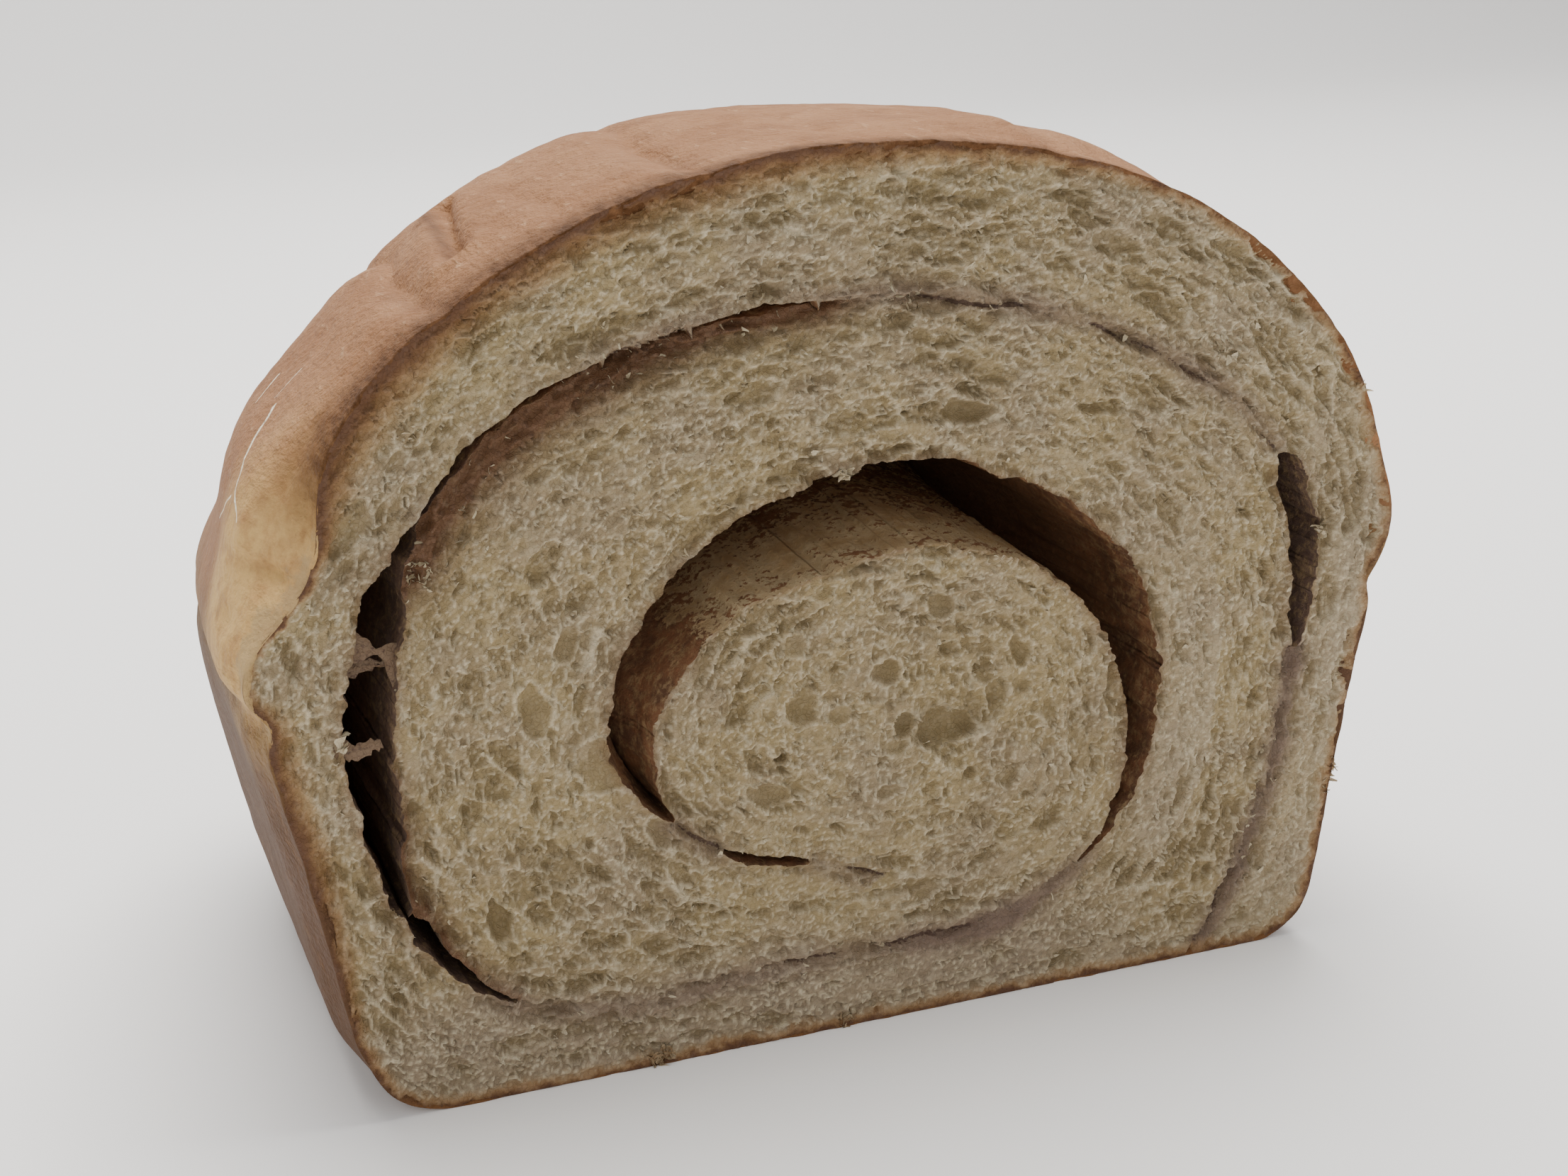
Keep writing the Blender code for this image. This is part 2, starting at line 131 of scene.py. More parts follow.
def layeredNoise(points, size, seed, layers=3):
    total = np.zeros(len(points))
    for layer in range(layers):
        total += softNoise(points, size / 2.1 ** layer, seed + layer) / 1.9 ** layer
    return total / 1.6


# The loaf's form

def loafOutline(count):  # evenly spaced once round from the middle of the base
    lean = math.radians(loaf["wallLean"])
    turn = math.pi / 2 - lean
    foot = loaf["widestHalf"] - loaf["widestHeight"] * math.tan(lean)
    rise = loaf["height"] - loaf["widestHeight"]
    angles = np.linspace(-math.pi / 2, turn - math.pi / 2, 24)
    sweep = np.linspace(0, math.pi / 2, 200)
    halves = []
    for squareness, radius in ((loaf["domeRight"], loaf["cornerRight"]), (loaf["domeLeft"], loaf["cornerLeft"])):
        cornerX = foot - radius * math.tan(turn / 2)
        low = np.stack([cornerX + radius * np.cos(angles), radius * (1 + np.sin(angles))], 1)
        power = 2 / squareness
        dome = np.stack([
            loaf["widestHalf"] * np.cos(sweep).clip(0) ** power,
            loaf["widestHeight"] + rise * np.sin(sweep) ** power,
        ], 1)
        halves.append(np.vstack([[[0, 0]], low, dome]))
    right, left = halves
    whole = np.vstack([right, (left * [-1, 1])[::-1][1:]])
    lengths = np.concatenate([[0], np.cumsum(np.linalg.norm(np.diff(whole, axis=0), axis=1))])
    spaced = np.linspace(0, lengths[-1], count, endpoint=False)
    return np.stack([np.interp(spaced, lengths, whole[:, axis]) for axis in (0, 1)], 1)


def curveIn(depth, start, squareness):
    share = np.clip((depth - start) / (loaf["length"] - start), 0, 1)
    return (1 - share ** squareness) ** (1 / squareness)


def heelScale(z, depth):  # what is left of the width and of the height at this depth
    wall = curveIn(depth, loaf["wallCurveStart"], loaf["wallSquareness"])
    blend = smoothStep(loaf["blendStart"], loaf["blendStart"] + loaf["blend"], z)
    width, height = (
        wall + (curveIn(depth, 0.0, squareness) - wall) * blend
        for squareness in (loaf["domeWidthSquareness"], loaf["domeHeightSquareness"]))
    base = curveIn(depth, loaf["baseCurveStart"], loaf["baseSquareness"])
    return width, np.where(z < loaf["heelCentre"], base, height)


def lineDistance(a, b, line):
    startA, startB, endA, endB = line[:4]
    alongA, alongB = endA - startA, endB - startB
    share = ((a - startA) * alongA + (b - startB) * alongB) / (alongA ** 2 + alongB ** 2)
    share = np.clip(share, 0, 1)
    return np.hypot(a - startA - share * alongA, b - startB - share * alongB)


creases = (  # x on the cut face, drift by the heel, depth, half width, length it fades over, bulge beside it
    (-42.0, -5.0, 1.6, 1.5, 80.0, 0.5),
    (-15.0, 4.0, 1.5, 1.8, 70.0, 0.5),
    (25.0, 6.0, 1.2, 1.4, 70.0, 0.4),
    (3.0, -3.0, 0.4, 1.0, 50.0, 0.1),
    (-29.0, 5.0, 0.5, 1.0, 60.0, 0.2),
)
tuck = {  # a short sharp crease at the upper left, from one depth and x to another
    "line": (17.0, -37.6, 46.0, -34.5), "deep": 1.7, "half": 0.8, "bulge": 0.6,
}


def bulge(name, z):
    form = bulges[name]
    return form["rise"] * bell(z - form["z"], form["spread"])


def crustRelief(x, depth, z):  # how far the crust stands out of the plain form
    points = np.stack([x, depth, z], 1)
    left = x < 0
    behind = smoothStep(0, loaf["swellsFullBy"], depth)
    atCut = np.clip(1 - depth / loaf["swellsFullBy"], 0, 1) ** 2
    out = loaf["swell"] * softNoise(points, loaf["swellSize"], 3)
    out += bulge("roll", z) * (1 - bulges["roll"]["lostBehind"] * behind)
    out += bulge("press", z) * atCut * left
    out += bulge("shoulder", z) * behind * left
    form = bulges["dome"]
    out += form["rise"] * bell(x - form["x"], form["spread"]) * smoothStep(form["from"], form["to"], z) * behind
    out += np.where(left, bulge("leftBreak", z), bulge("rightBreak", z))

    dome = smoothStep(62.0, 68.0, z)
    (wanderSize, wander), (grainSize, grain), (hammeredSize, hammered), (baseSize, base) = skin.values()
    wander = wander * softNoise(points, wanderSize, 8)
    for start, drift, deep, half, fades, beside in creases:
        off = x - start - drift * depth / loaf["length"] - wander * smoothStep(0, 12, depth)
        fold = deep * np.exp(-np.abs(off) / half) - beside * bell(off + 2.4 * half, 1.8 * half)
        fold *= (0.25 + 0.75 * smoothStep(0, 14, depth)) * (1 - 0.7 * smoothStep(15, fades + 15, depth))
        out -= dome * fold
    away = lineDistance(depth, x, tuck["line"])
    out -= dome * (tuck["deep"] * np.exp(-away / tuck["half"]) - tuck["bulge"] * bell(away - 2.2, 1.6))

    out += grain * layeredNoise(points * [1, 0.6, 1], grainSize, 21, 3)
    out += hammered * softNoise(points * [1, 0.35, 1], hammeredSize, 31) * smoothStep(46, 60, z)
    ease = smoothStep(loaf["cornerRight"], loaf["cornerRight"] * 2, z)
    base = (1 - ease) * base * softNoise(points, baseSize, 44) * (z > 0.5)
    pinch = loaf["pinch"] * smoothStep(0.3, 7, z) * (1 - smoothStep(46, 60, z)) * left
    pinch *= 1 - smoothStep(0, loaf["pinchDepth"], depth)
    return np.where(z < loaf["cornerRight"], 0, out * ease) + base - pinch


def drawnIn(x, z, depth):  # a point of the cut face's plane at this depth, in world millimetres
    width, height = heelScale(z, depth)
    centre = loaf["heelCentre"]
    return np.stack([x * width, depth - loaf["length"] / 2, centre + (z - centre) * height], 1)


def loafSurface(outline, depth, inset=0.0):  # world points in millimetres for outline points at depths
    x, z = outline[:, 0], outline[:, 1]
    outwards = np.stack([x, 0 * x, z - loaf["heelCentre"]], 1)
    outwards /= np.linalg.norm(outwards, axis=1)[:, None]
    relief = crustRelief(x, depth, z) * heelScale(z, depth)[0] - inset
    placed = drawnIn(x, z, depth) + outwards * relief[:, None]
    placed[:, 2] = placed[:, 2].clip(0)
    return placed


# The roll's form

def rollRadius(heading):
    position = np.clip((roll["start"] - heading) / roll["step"], 0, len(roll["radii"]) - 1.000001)
    radii = np.array(roll["radii"])
    i = position.astype(int)
    t = position - i
    a, b = radii[np.clip(i - 1, 0, None)], radii[i]
    c, d = radii[i + 1], radii[np.clip(i + 2, None, len(radii) - 1)]
    return b + 0.5 * t * (c - a + t * (2 * a - 5 * b + 4 * c - d + t * (3 * (b - c) + d - a)))


def rollLine(heading):
    angle = np.radians(heading)
    radius = rollRadius(heading)
    heart = np.array(roll["heart"])
    return heart + np.stack([radius * np.cos(angle), radius * np.sin(angle)], 1)


def rollFrame(heading):  # points on the filling, and the unit vectors out of the roll
    along = rollLine(heading - 0.5) - rollLine(heading + 0.5)
    along /= np.linalg.norm(along, axis=1)[:, None]
    return rollLine(heading), np.stack([-along[:, 1], along[:, 0]], 1)


def gapWidth(heading):
    widest = np.zeros(len(heading))
    for first, last, width, bias, blunt in hollows.values():
        share = np.clip((first - heading) / (first - last), 1e-6, 1 - 1e-6)
        inside = (heading < first) & (heading > last)
        gap = width * np.sin(math.pi * share ** bias) ** blunt
        widest = np.maximum(widest, np.where(inside, gap, 0))
    return widest


def hollowShare(depth):
    middle, end = roll["hollowMiddle"], roll["hollowEnd"]
    first = 1 - (1 - roll["middleShare"]) * depth / middle
    last = roll["middleShare"] * np.clip((end - depth) / (end - middle), 0, 1)
    return np.where(depth < middle, first, last)


# Meshes

def newPiece(name, mesh, material, nodes=()):
    for polygon in mesh.polygons:
        polygon.use_smooth = True
    piece = bpy.data.objects.new(name, mesh)
    bpy.context.scene.collection.objects.link(piece)
    mesh.materials.append(material)
    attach(piece, "root")
    if nodes:
        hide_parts(*nodes)


def setPoints(mesh, points):  # points in millimetres
    mesh.vertices.foreach_set("co", (points * mm).astype(np.float32).ravel())
    mesh.update()


def setNumbers(mesh, name, values):
    layer = mesh.attributes.new(name, "FLOAT", "POINT")
    layer.data.foreach_set("value", np.asarray(values, dtype=np.float32))


def meshPoints(mesh):
    points = np.empty(len(mesh.vertices) * 3, dtype=np.float32)
    mesh.vertices.foreach_get("co", points)
    return points.reshape(-1, 3).astype(float)


def nearest(points, samples):  # index of the nearest sample for each point of the plane
    tree = kdtree.KDTree(len(samples))
    for i, (x, z) in enumerate(samples):
        tree.insert((x, 0, z), i)
    tree.balance()
    return np.array([tree.find((x, 0, z))[1] for x, z in points])


# Materials

class Wire:  # a shader socket that takes part in Python maths
    def __init__(self, finish, socket):
        self.finish, self.socket = finish, socket

    def maths(self, operation, *values):
        return self.finish.node("ShaderNodeMath", {"operation": operation}, dict(enumerate(values)))

    def __add__(self, other):
        return self.maths("ADD", self, other)

    def __sub__(self, other):
        return self.maths("SUBTRACT", self, other)

    def __rsub__(self, other):
        return self.maths("SUBTRACT", other, self)

    def __mul__(self, other):
        return self.maths("MULTIPLY", self, other)

    def __truediv__(self, other):
        return self.maths("DIVIDE", self, other)

    __radd__ = __add__
    __rmul__ = __mul__

    def clip(self):
        return self.maths("MINIMUM", self.maths("MAXIMUM", self, 0.0), 1.0)

    def ramp(self, low, high):  # 0 below low, 1 above high, smooth between
        settings = {"interpolation_type": "SMOOTHSTEP"}
        return self.finish.node("ShaderNodeMapRange", settings, {0: self, 1: low, 2: high, 3: 0.0, 4: 1.0})


class Finish:
    def __init__(self, name):
        self.material = bpy.data.materials.new(name)
        self.material.use_nodes = True
        self.tree = self.material.node_tree
        self.shader = self.tree.nodes["Principled BSDF"]

    def node(self, kind, settings=None, inputs=None, output=0):
        made = self.tree.nodes.new(kind)
        for key, value in (settings or {}).items():
            setattr(made, key, value)
        for key, value in (inputs or {}).items():
            self.put(made.inputs[key], value)
        return Wire(self, made.outputs[output])

    def put(self, socket, value):
        if isinstance(value, Wire):
            self.tree.links.new(value.socket, socket)
        elif isinstance(value, tuple) and len(value) == 3 and len(socket.default_value) == 4:
            socket.default_value = (*value, 1)
        else:
            socket.default_value = value

    def place(self, stretch=(1, 1, 1)):  # the piece's own coordinates, in millimetres
        coordinates = self.node("ShaderNodeTexCoord", output="Object")
        scale = tuple(value / mm for value in stretch)
        return self.node("ShaderNodeMapping", {"vector_type": "POINT"}, {"Vector": coordinates, "Scale": scale})

    def noise(self, size, stretch=(1, 1, 1), detail=3.0, rough=0.55):
        inputs = {"Vector": self.place(stretch), "Scale": 1 / size, "Detail": detail, "Roughness": rough}
        return self.node("ShaderNodeTexNoise", {"noise_dimensions": "3D"}, inputs)

    def cells(self, size):  # how far a point is from the walls of small cells
        inputs = {"Vector": self.place(), "Scale": 1 / size}
        return self.node("ShaderNodeTexVoronoi", {"feature": "DISTANCE_TO_EDGE"}, inputs, "Distance")

    def number(self, name):
        return self.node("ShaderNodeAttribute", {"attribute_name": name}, output="Fac")

    def blend(self, factor, first, second):
        settings = {"data_type": "RGBA", "blend_type": "MIX"}
        return self.node("ShaderNodeMix", settings, {0: factor, 6: first, 7: second}, output=2)

    def bump(self, height, strength, distance):
        return self.node("ShaderNodeBump", {}, {"Height": height, "Strength": strength, "Distance": distance * mm})

    def finish(self, **sockets):
        for name, value in sockets.items():
            self.put(self.shader.inputs[name.replace("_", " ")], value)
        return self.material


def crumbFinish():
    look = {
        "cream": (0.315, 0.238, 0.119), "grey": (0.235, 0.178, 0.12), "blush": (0.40, 0.325, 0.225),
        "wall": (0.62, 0.53, 0.365), "deep": (0.205, 0.15, 0.07), "stain": (0.17, 0.115, 0.082),
        "seam": (0.075, 0.04, 0.027), "brown": (0.115, 0.055, 0.024), "rind": (0.095, 0.04, 0.016),
        "amber": (0.18, 0.085, 0.03), "gold": (0.33, 0.205, 0.09),
    }
    fin = Finish("crumb")
    wall = fin.number("wall")
    # painted shade: the pit number darkens each cell by its depth with the deep colour
    deep = fin.number("pit")
    tone = fin.noise(9.0, detail=2.0)
    fine = fin.noise(0.8, detail=4.0, rough=0.65)
    colour = fin.blend(tone.ramp(0.35, 0.7) * 0.6, look["cream"], look["grey"])
    colour = fin.blend(fin.number("greyer"), colour, look["grey"])
    colour = fin.blend(fin.number("blush"), colour, look["blush"])
    # paler cell walls: partly their own paler tone, partly a painted highlight where light catches the ridges
    colour = fin.blend((wall * (0.2 + fine * 0.95)).clip(), colour, look["wall"])
    # painted shade in the pits: deeper cells take the darker deep colour
    colour = fin.blend((deep * 0.68).clip(), colour, look["deep"])
    stain = (fin.number("stain") * (0.45 + tone * 0.8)).clip()
    colour = fin.blend(stain, colour, look["stain"])
    # brown: real cinnamon tint at hollow rims and the left wall; under the cracks partly painted shadow below the
    # overhanging outer layer
    brownStainAndShadow = (fin.number("brown") * (0.5 + fin.noise(1.3, detail=4.0, rough=0.65) * 1.1)).clip()
    colour = fin.blend(brownStainAndShadow, colour, look["brown"])
    rim = fin.number("crustNear") + (fin.noise(2.0, detail=4.0, rough=0.6) - 0.5) * 2.4
    share = rim / fin.number("crustDepth")
    colour = fin.blend((1 - share.ramp(0.35, 1.05)) * 0.7, colour, look["gold"])
    colour = fin.blend((1 - share.ramp(0.12, 0.78)) * 0.88, colour, look["amber"])
    colour = fin.blend(1 - share.ramp(0.02, 0.42), colour, look["rind"])
    grains = (fin.noise(0.45, detail=3.0, rough=0.6) + fin.number("speck") - 1.08).ramp(-0.03, 0.08)
    colour = fin.blend(grains * 0.85, colour, look["seam"])
    small = fin.cells(0.5).ramp(0.0, 0.14)
    height = fine * 0.5 - small * 0.35
    return fin.finish(
        Base_Color=colour, Roughness=0.55 + fine * 0.25, Coat_Weight=(wall * 0.25).clip(), Coat_Roughness=0.4,
        Specular_IOR_Level=0.3, Subsurface_Weight=0.1, Subsurface_Radius=(1.0, 0.6, 0.3), Subsurface_Scale=0.001,
        Normal=fin.bump(height, 0.6, 0.3),
    )


def thinLine(fin, a, b, line):  # 1 on a line from one point to the other, thinner towards its end
    startA, startB, endA, endB, half = line
    alongA, alongB = endA - startA, endB - startB
    share = (((a - startA) * alongA + (b - startB) * alongB) / (alongA ** 2 + alongB ** 2)).clip()
    offA, offB = a - startA - share * alongA, b - startB - share * alongB
    away = fin.node("ShaderNodeMath", {"operation": "SQRT"}, {0: offA * offA + offB * offB})
    return 1 - (away / (half * (1 - share * 0.5))).ramp(0.55, 1.0)


scratches = (  # on the left shoulder: start and end as depth and height, half width
    (24.5, 72.8, 11.0, 64.5, 0.34), (16.5, 65.8, 24.0, 61.5, 0.2), (27.0, 75.9, 27.5, 73.0, 0.15),
    (36.0, 73.5, 35.0, 71.0, 0.3),
)


def crustFinish():
    look = {
        "dome": (0.255, 0.118, 0.053), "domePale": (0.35, 0.182, 0.09), "domeDark": (0.145, 0.058, 0.022),
        "glint": (0.52, 0.33, 0.19), "wallToneShaded": (0.10, 0.05, 0.024), "wallPinkShaded": (0.125, 0.07, 0.044),
        "gold": (0.62, 0.40, 0.16), "tan": (0.37, 0.19, 0.07), "base": (0.18, 0.085, 0.036),
        "seam": (0.06, 0.027, 0.016), "edge": (0.075, 0.032, 0.012), "torn": (0.40, 0.285, 0.15),
        "scratch": (0.85, 0.76, 0.58),
    }
    fin = Finish("crust")
    patches = fin.noise(14.0, detail=4.0, rough=0.6)
    mottle = fin.noise(1.9, stretch=(1, 0.6, 1), detail=5.0, rough=0.7)
    streaks = fin.noise(1.1, stretch=(1, 0.25, 1), detail=5.0, rough=0.65)
    fine = fin.noise(0.5, detail=3.0)
    dome = fin.blend(patches.ramp(0.25, 0.8), look["dome"], look["domePale"])
    dome = fin.blend(mottle.ramp(0.45, 0.7) * 0.5, dome, look["domePale"])
    dome = fin.blend(fin.noise(4.5, detail=5.0, rough=0.65).ramp(0.45, 0.8) * 0.5, dome, look["domeDark"])
    # painted highlight: pale glints along the streaks
    dome = fin.blend(streaks.ramp(0.58, 0.72) * 0.5, dome, look["glint"])
    # side walls: their own pinkish-brown tone, darkened as painted shade on sides that face away from the light
    side = fin.blend(fin.noise(9.0, detail=4.0).ramp(0.3, 0.75), look["wallToneShaded"], look["wallPinkShaded"])
    side = fin.blend(fin.noise(2.4, detail=5.0, rough=0.65).ramp(0.5, 0.85) * 0.3, side, look["tan"])
    height = fin.number("height") + (patches - 0.5) * 10.0
    colour = fin.blend(height.ramp(44.0, 60.0), side, dome)
    golden = fin.blend(fin.noise(3.4, detail=5.0, rough=0.7).ramp(0.38, 0.78) * 0.85, look["gold"], look["tan"])
    broken = fin.number("break") * (0.45 + fin.noise(4.0, detail=4.0).ramp(0.25, 0.6) * 0.75)
    colour = fin.blend(broken.clip(), colour, golden)
    streaked = fin.noise(1.4, stretch=(1, 0.3, 1), detail=4.0, rough=0.65)
    colour = fin.blend((fin.number("nearCut") * (0.1 + streaked * 1.5)).clip(), colour, look["edge"])
    torn = (fin.number("torn") * 1.3 + (fin.noise(2.2, detail=5.0, rough=0.7) - 0.5) * 2.4).ramp(0.55, 0.95)
    colour = fin.blend(torn * (0.35 + fine * 0.6), colour, look["torn"])
    # painted shade: darker colour along the dome's creases and the tuck
    colour = fin.blend(fin.number("crease"), colour, look["seam"])
    colour = fin.blend(1 - fin.number("height").ramp(0.4, 3.0), colour, look["base"])
    spot = fin.place()
    across, back, up = (fin.node("ShaderNodeSeparateXYZ", {}, {"Vector": spot}, axis) for axis in "XYZ")
    wavy = back + loaf["length"] / 2 + (fin.noise(2.5) - 0.5) * 1.2
    for line in scratches:
        mark = thinLine(fin, wavy, up, line) * (1 - across.ramp(-2.0, 0.0)) * (0.35 + mottle.ramp(0.3, 0.5) * 0.6)
        colour = fin.blend(mark, colour, look["scratch"])
    hammered = fin.noise(1.0, stretch=(1, 0.7, 1), detail=3.0, rough=0.6)
    bump = streaks * 0.5 + hammered * 0.9 + fine * 0.4
    return fin.finish(
        Base_Color=colour, Roughness=0.45 + fine * 0.25, Specular_IOR_Level=0.06, Normal=fin.bump(bump, 0.9, 0.7),
    )


def cinnamonFinish():
    look = {
        "dark": (0.15, 0.072, 0.036), "red": (0.26, 0.12, 0.055), "tan": (0.47, 0.32, 0.16),
        "cream": (0.62, 0.50, 0.29), "ash": (0.15, 0.10, 0.078), "inside": (0.36, 0.18, 0.09),
    }
    fin = Finish("cinnamon")
    grain = fin.noise(0.9, detail=5.0, rough=0.72)
    patches = fin.noise(3.5, detail=4.0, rough=0.6)
    sugar = fin.blend(patches.ramp(0.38, 0.62), look["dark"], look["red"])
    sugar = fin.blend(fin.number("ash"), sugar, look["ash"])
    skin = fin.blend(patches.ramp(0.3, 0.7), look["tan"], look["cream"])
    cover = (fin.number("cover") * 1.3 + (grain - 0.5) * 2.6 + (patches - 0.5) * 1.8).ramp(0.42, 0.54)
    sugar = fin.blend(fin.noise(1.2, detail=5.0, rough=0.72).ramp(0.46, 0.66) * 0.6, sugar, look["tan"])
    colour = fin.blend(cover, skin, sugar)
    # painted light: the deeper filling away from the pale side takes a lighter brown, standing in for light reaching
    # into the hollows
    colour = fin.blend(fin.number("dim"), colour, look["inside"])
    bump = grain * 0.8 + patches * 0.4
    return fin.finish(
        Base_Color=colour, Roughness=0.5 + grain * 0.3, Coat_Weight=0.1, Coat_Roughness=0.4,
        Specular_IOR_Level=0.35, Normal=fin.bump(bump, 0.9, 0.8),
    )


# The crust

crust = {  # rolledEdge: how far back and how far in each of the first rows lies
    "around": 560, "along": 165, "edgeWave": 0.22,
    "rolledEdge": ((1.6, 2.0), (0.5, 0.9), (0.1, 0.4), (-0.12, 0.12)),
}
cutDepth = 0.8  # the mean cut surface lies this far behind the CAD's face
cutPlane = cutDepth - loaf["length"] / 2
dimples = (  # depth, height, reach along the loaf, reach up, how deep
    (5.5, 61.0, 2.6, 1.1, 1.5), (3.0, 66.5, 1.2, 3.0, 1.1), (9.5, 64.0, 1.6, 2.2, -0.8), (9.0, 55.0, 2.0, 1.2, 0.6),
    (4.0, 57.5, 1.5, 1.8, -0.6), (6.5, 69.5, 1.0, 4.0, 0.5), (3.5, 50.5, 1.6, 1.4, 0.6), (2.6, 62.8, 1.0, 1.2, -0.5),
)


def makeCrust(material):
    outline = loafOutline(crust["around"])
    mesh = bpy.data.meshes.new("crust")
    grid = bmesh.new()
    columns, rows = crust["around"], crust["along"]
    bmesh.ops.create_grid(grid, x_segments=columns, y_segments=rows, size=0.5)
    grid.to_mesh(mesh)
    flat = meshPoints(mesh)
    i = np.rint((flat[:, 0] + 0.5) * columns).astype(int) % columns
    j = np.rint((flat[:, 1] + 0.5) * rows).astype(int)
    first = len(crust["rolledEdge"])
    share = np.clip((j - first) / (rows - first), 0, 1)
    depth = cutDepth - 0.1 + (loaf["length"] - cutDepth + 0.1) * np.sin(share * math.pi / 2) ** 1.05
    inset = np.zeros(len(depth))
    for row, (back, inwards) in enumerate(crust["rolledEdge"]):
        depth[j == row] = cutDepth + back
        inset[j == row] = inwards
    ring = outline[i]
    wave = crust["edgeWave"] * layeredNoise(ring, 2.6, 33, 3)
    depth = np.minimum(depth + wave * (1 - smoothStep(0.5, 3.0, depth - cutDepth)), loaf["length"])
    points = loafSurface(ring, depth, inset)
    for back, height, along, up, deep in dimples:
        points[:, 0] += deep * bell(depth - back, along) * bell(ring[:, 1] - height, up) * (ring[:, 0] < 0)
    points[j == rows] = (0, loaf["length"] / 2, loaf["heelCentre"])
    setPoints(mesh, points)
    grid.clear()
    grid.from_mesh(mesh)
    bmesh.ops.remove_doubles(grid, verts=grid.verts, dist=0.00002)
    bmesh.ops.recalc_face_normals(grid, faces=grid.faces)
    grid.to_mesh(mesh)
    grid.free()
    points = meshPoints(mesh) / mm
    depth = points[:, 1] + loaf["length"] / 2
    x, z = points[:, 0], points[:, 2]
    # crease numbers below carry painted shade in the creases and the tuck
    crease = np.zeros(len(points))
    for start, drift, deep, half, fades, _ in creases:
        middle = start + drift * depth / loaf["length"]
        fade = 1 - smoothStep(0, fades * 0.5, depth)
        crease = np.maximum(crease, bell(x - middle, half * 0.7) * fade * deep / 2 * smoothStep(3, 12, depth))
    tucked = bell(lineDistance(depth, x, tuck["line"]), tuck["half"])
    crease = np.maximum(crease, tucked * 1.2)
    left = x < 0
    rightSide = 0.4 * smoothStep(5, 45, x)
    browned = 4.5 + 6.5 * smoothStep(10, -40, x)
    shoulder = bell(z - 58, 11) * left * (1 - smoothStep(9, 26, depth))
    numbers = {
        "crease": crease * smoothStep(70, 80, z) * 0.5,
        "height": z,
        "break": np.clip(shoulder * 1.25 + 0.22 * bell(z - 47, 5), 0, 1),
        "torn": (1 - smoothStep(0.8, 6.5, depth)) * bell(z - 54, 12) * left,
        "nearCut": (1 - smoothStep(0.8, browned, depth)) * smoothStep(60, 74, z) * (1 - rightSide),
    }
    for name, values in numbers.items():
        setNumbers(mesh, name, values)
    print("crust:", len(mesh.vertices), "points")
    newPiece("crust", mesh, material)


# The crumb and the lining of the hollows

crumb = {  # levels: size, open share, depth and seed; steps at a crack: how deep and how far they reach
    "spacing": 0.262, "snap": 0.55, "stretch": 1.6, "warp": 0.55, "fibre": 0.14, "torn": 0.40, "raggedEdge": 0.8,
    "levels": ((3.2, 0.36, 1.15, 11), (1.6, 0.58, 0.72, 17), (0.85, 0.85, 0.42, 23)),
    "layerReach": 7.0, "sag": 0.4, "groove": 0.9, "raise": 0.35, "split": 3.5,
    "crackStep": (2.3, 2.8), "outerStep": (-0.35, 2.0),
}
largePores = (  # x, z, length, height, tilt, depth
    (10.4, 34.0, 7.8, 4.6, -4.0, 3.0), (5.6, 34.8, 3.4, 3.0, 0.0, 2.4), (3.5, 41.6, 4.4, 3.2, 15.0, 1.9),
    (-7.0, 46.4, 3.0, 2.4, 30.0, 1.4), (-6.6, 39.0, 4.0, 3.2, 40.0, 1.8), (-9.0, 33.4, 2.0, 1.6, 0.0, 2.6),
    (-10.4, 29.6, 4.4, 2.8, -10.0, 1.6), (10.2, 48.2, 3.4, 2.8, 10.0, 1.5), (-2.4, 37.6, 3.0, 2.0, 0.0, 1.4),
    (13.6, 69.6, 7.4, 2.8, -8.0, 2.2), (-29.6, 36.0, 4.2, 6.8, 20.0, 1.5), (-36.0, 43.5, 3.6, 6.4, 15.0, 1.8),
    (-41.0, 20.0, 2.6, 5.0, 20.0, 2.4), (19.6, 41.4, 2.4, 3.8, 30.0, 1.8), (-46.0, 64.0, 2.0, 4.6, -30.0, 1.5),
    (-32.0, 50.0, 2.6, 5.4, -25.0, 1.5), (-23.0, 27.0, 2.2, 4.4, 20.0, 1.5), (3.0, 27.6, 3.6, 1.8, 5.0, 1.3),
)
wallDepths = (0.5, 1.2, 2.2, 3.4, 5.0, 7.0, 9.5, 12.5, 16.0, 20.0, 25.0, 31.0, 38.0, 46.0, 52.0, 57.0)


def layerDirection(points, samples, tangents):  # which way the layers run, and how strongly
    near = np.zeros((len(points), 2))
    for sample, tangent in zip(samples, tangents):
        angle = 2 * math.atan2(tangent[1], tangent[0])
        weight = np.exp(-np.sum((points - sample) ** 2, axis=1) / (2 * crumb["layerReach"] ** 2))
        near += weight[:, None] * [math.cos(angle), math.sin(angle)]
    strength = np.linalg.norm(near, axis=1)
    angle = np.arctan2(near[:, 1], near[:, 0]) / 2
    return np.stack([np.cos(angle), np.sin(angle)], 1), smoothStep(0.2, 3.0, strength)


def crumbCells(points, size, along, stretch, seed):  # nearest and second nearest cell, and each cell's number
    home = np.floor(points / size)
    across = np.stack([-along[:, 1], along[:, 0]], 1)
    first = np.full(len(points), 9.0)
    second = first.copy()
    owner = np.zeros(len(points))
    for i in range(-2, 3):
        for j in range(-2, 3):
            cell = home + [i, j]
            jitter = np.stack([randomAt(cell, seed), randomAt(cell, seed + 1)], 1)
            off = points - (cell + 0.1 + 0.8 * jitter) * size
            far = np.hypot(np.sum(off * along, 1) / stretch, np.sum(off * across, 1) * 1.15)
            far = far / size / (0.65 + 0.75 * randomAt(cell, seed + 2))
            closer = far < first
            second = np.where(closer, first, np.minimum(second, far))
            owner = np.where(closer, randomAt(cell, seed + 3), owner)
            first = np.where(closer, far, first)
    return first, second, owner


def fibres(points, along, size, seed):  # fine noise drawn out along the layers
    steps = np.linspace(-3, 3, 7)
    return sum(softNoise(points + step * size * along, size, seed) for step in steps) / 2.6


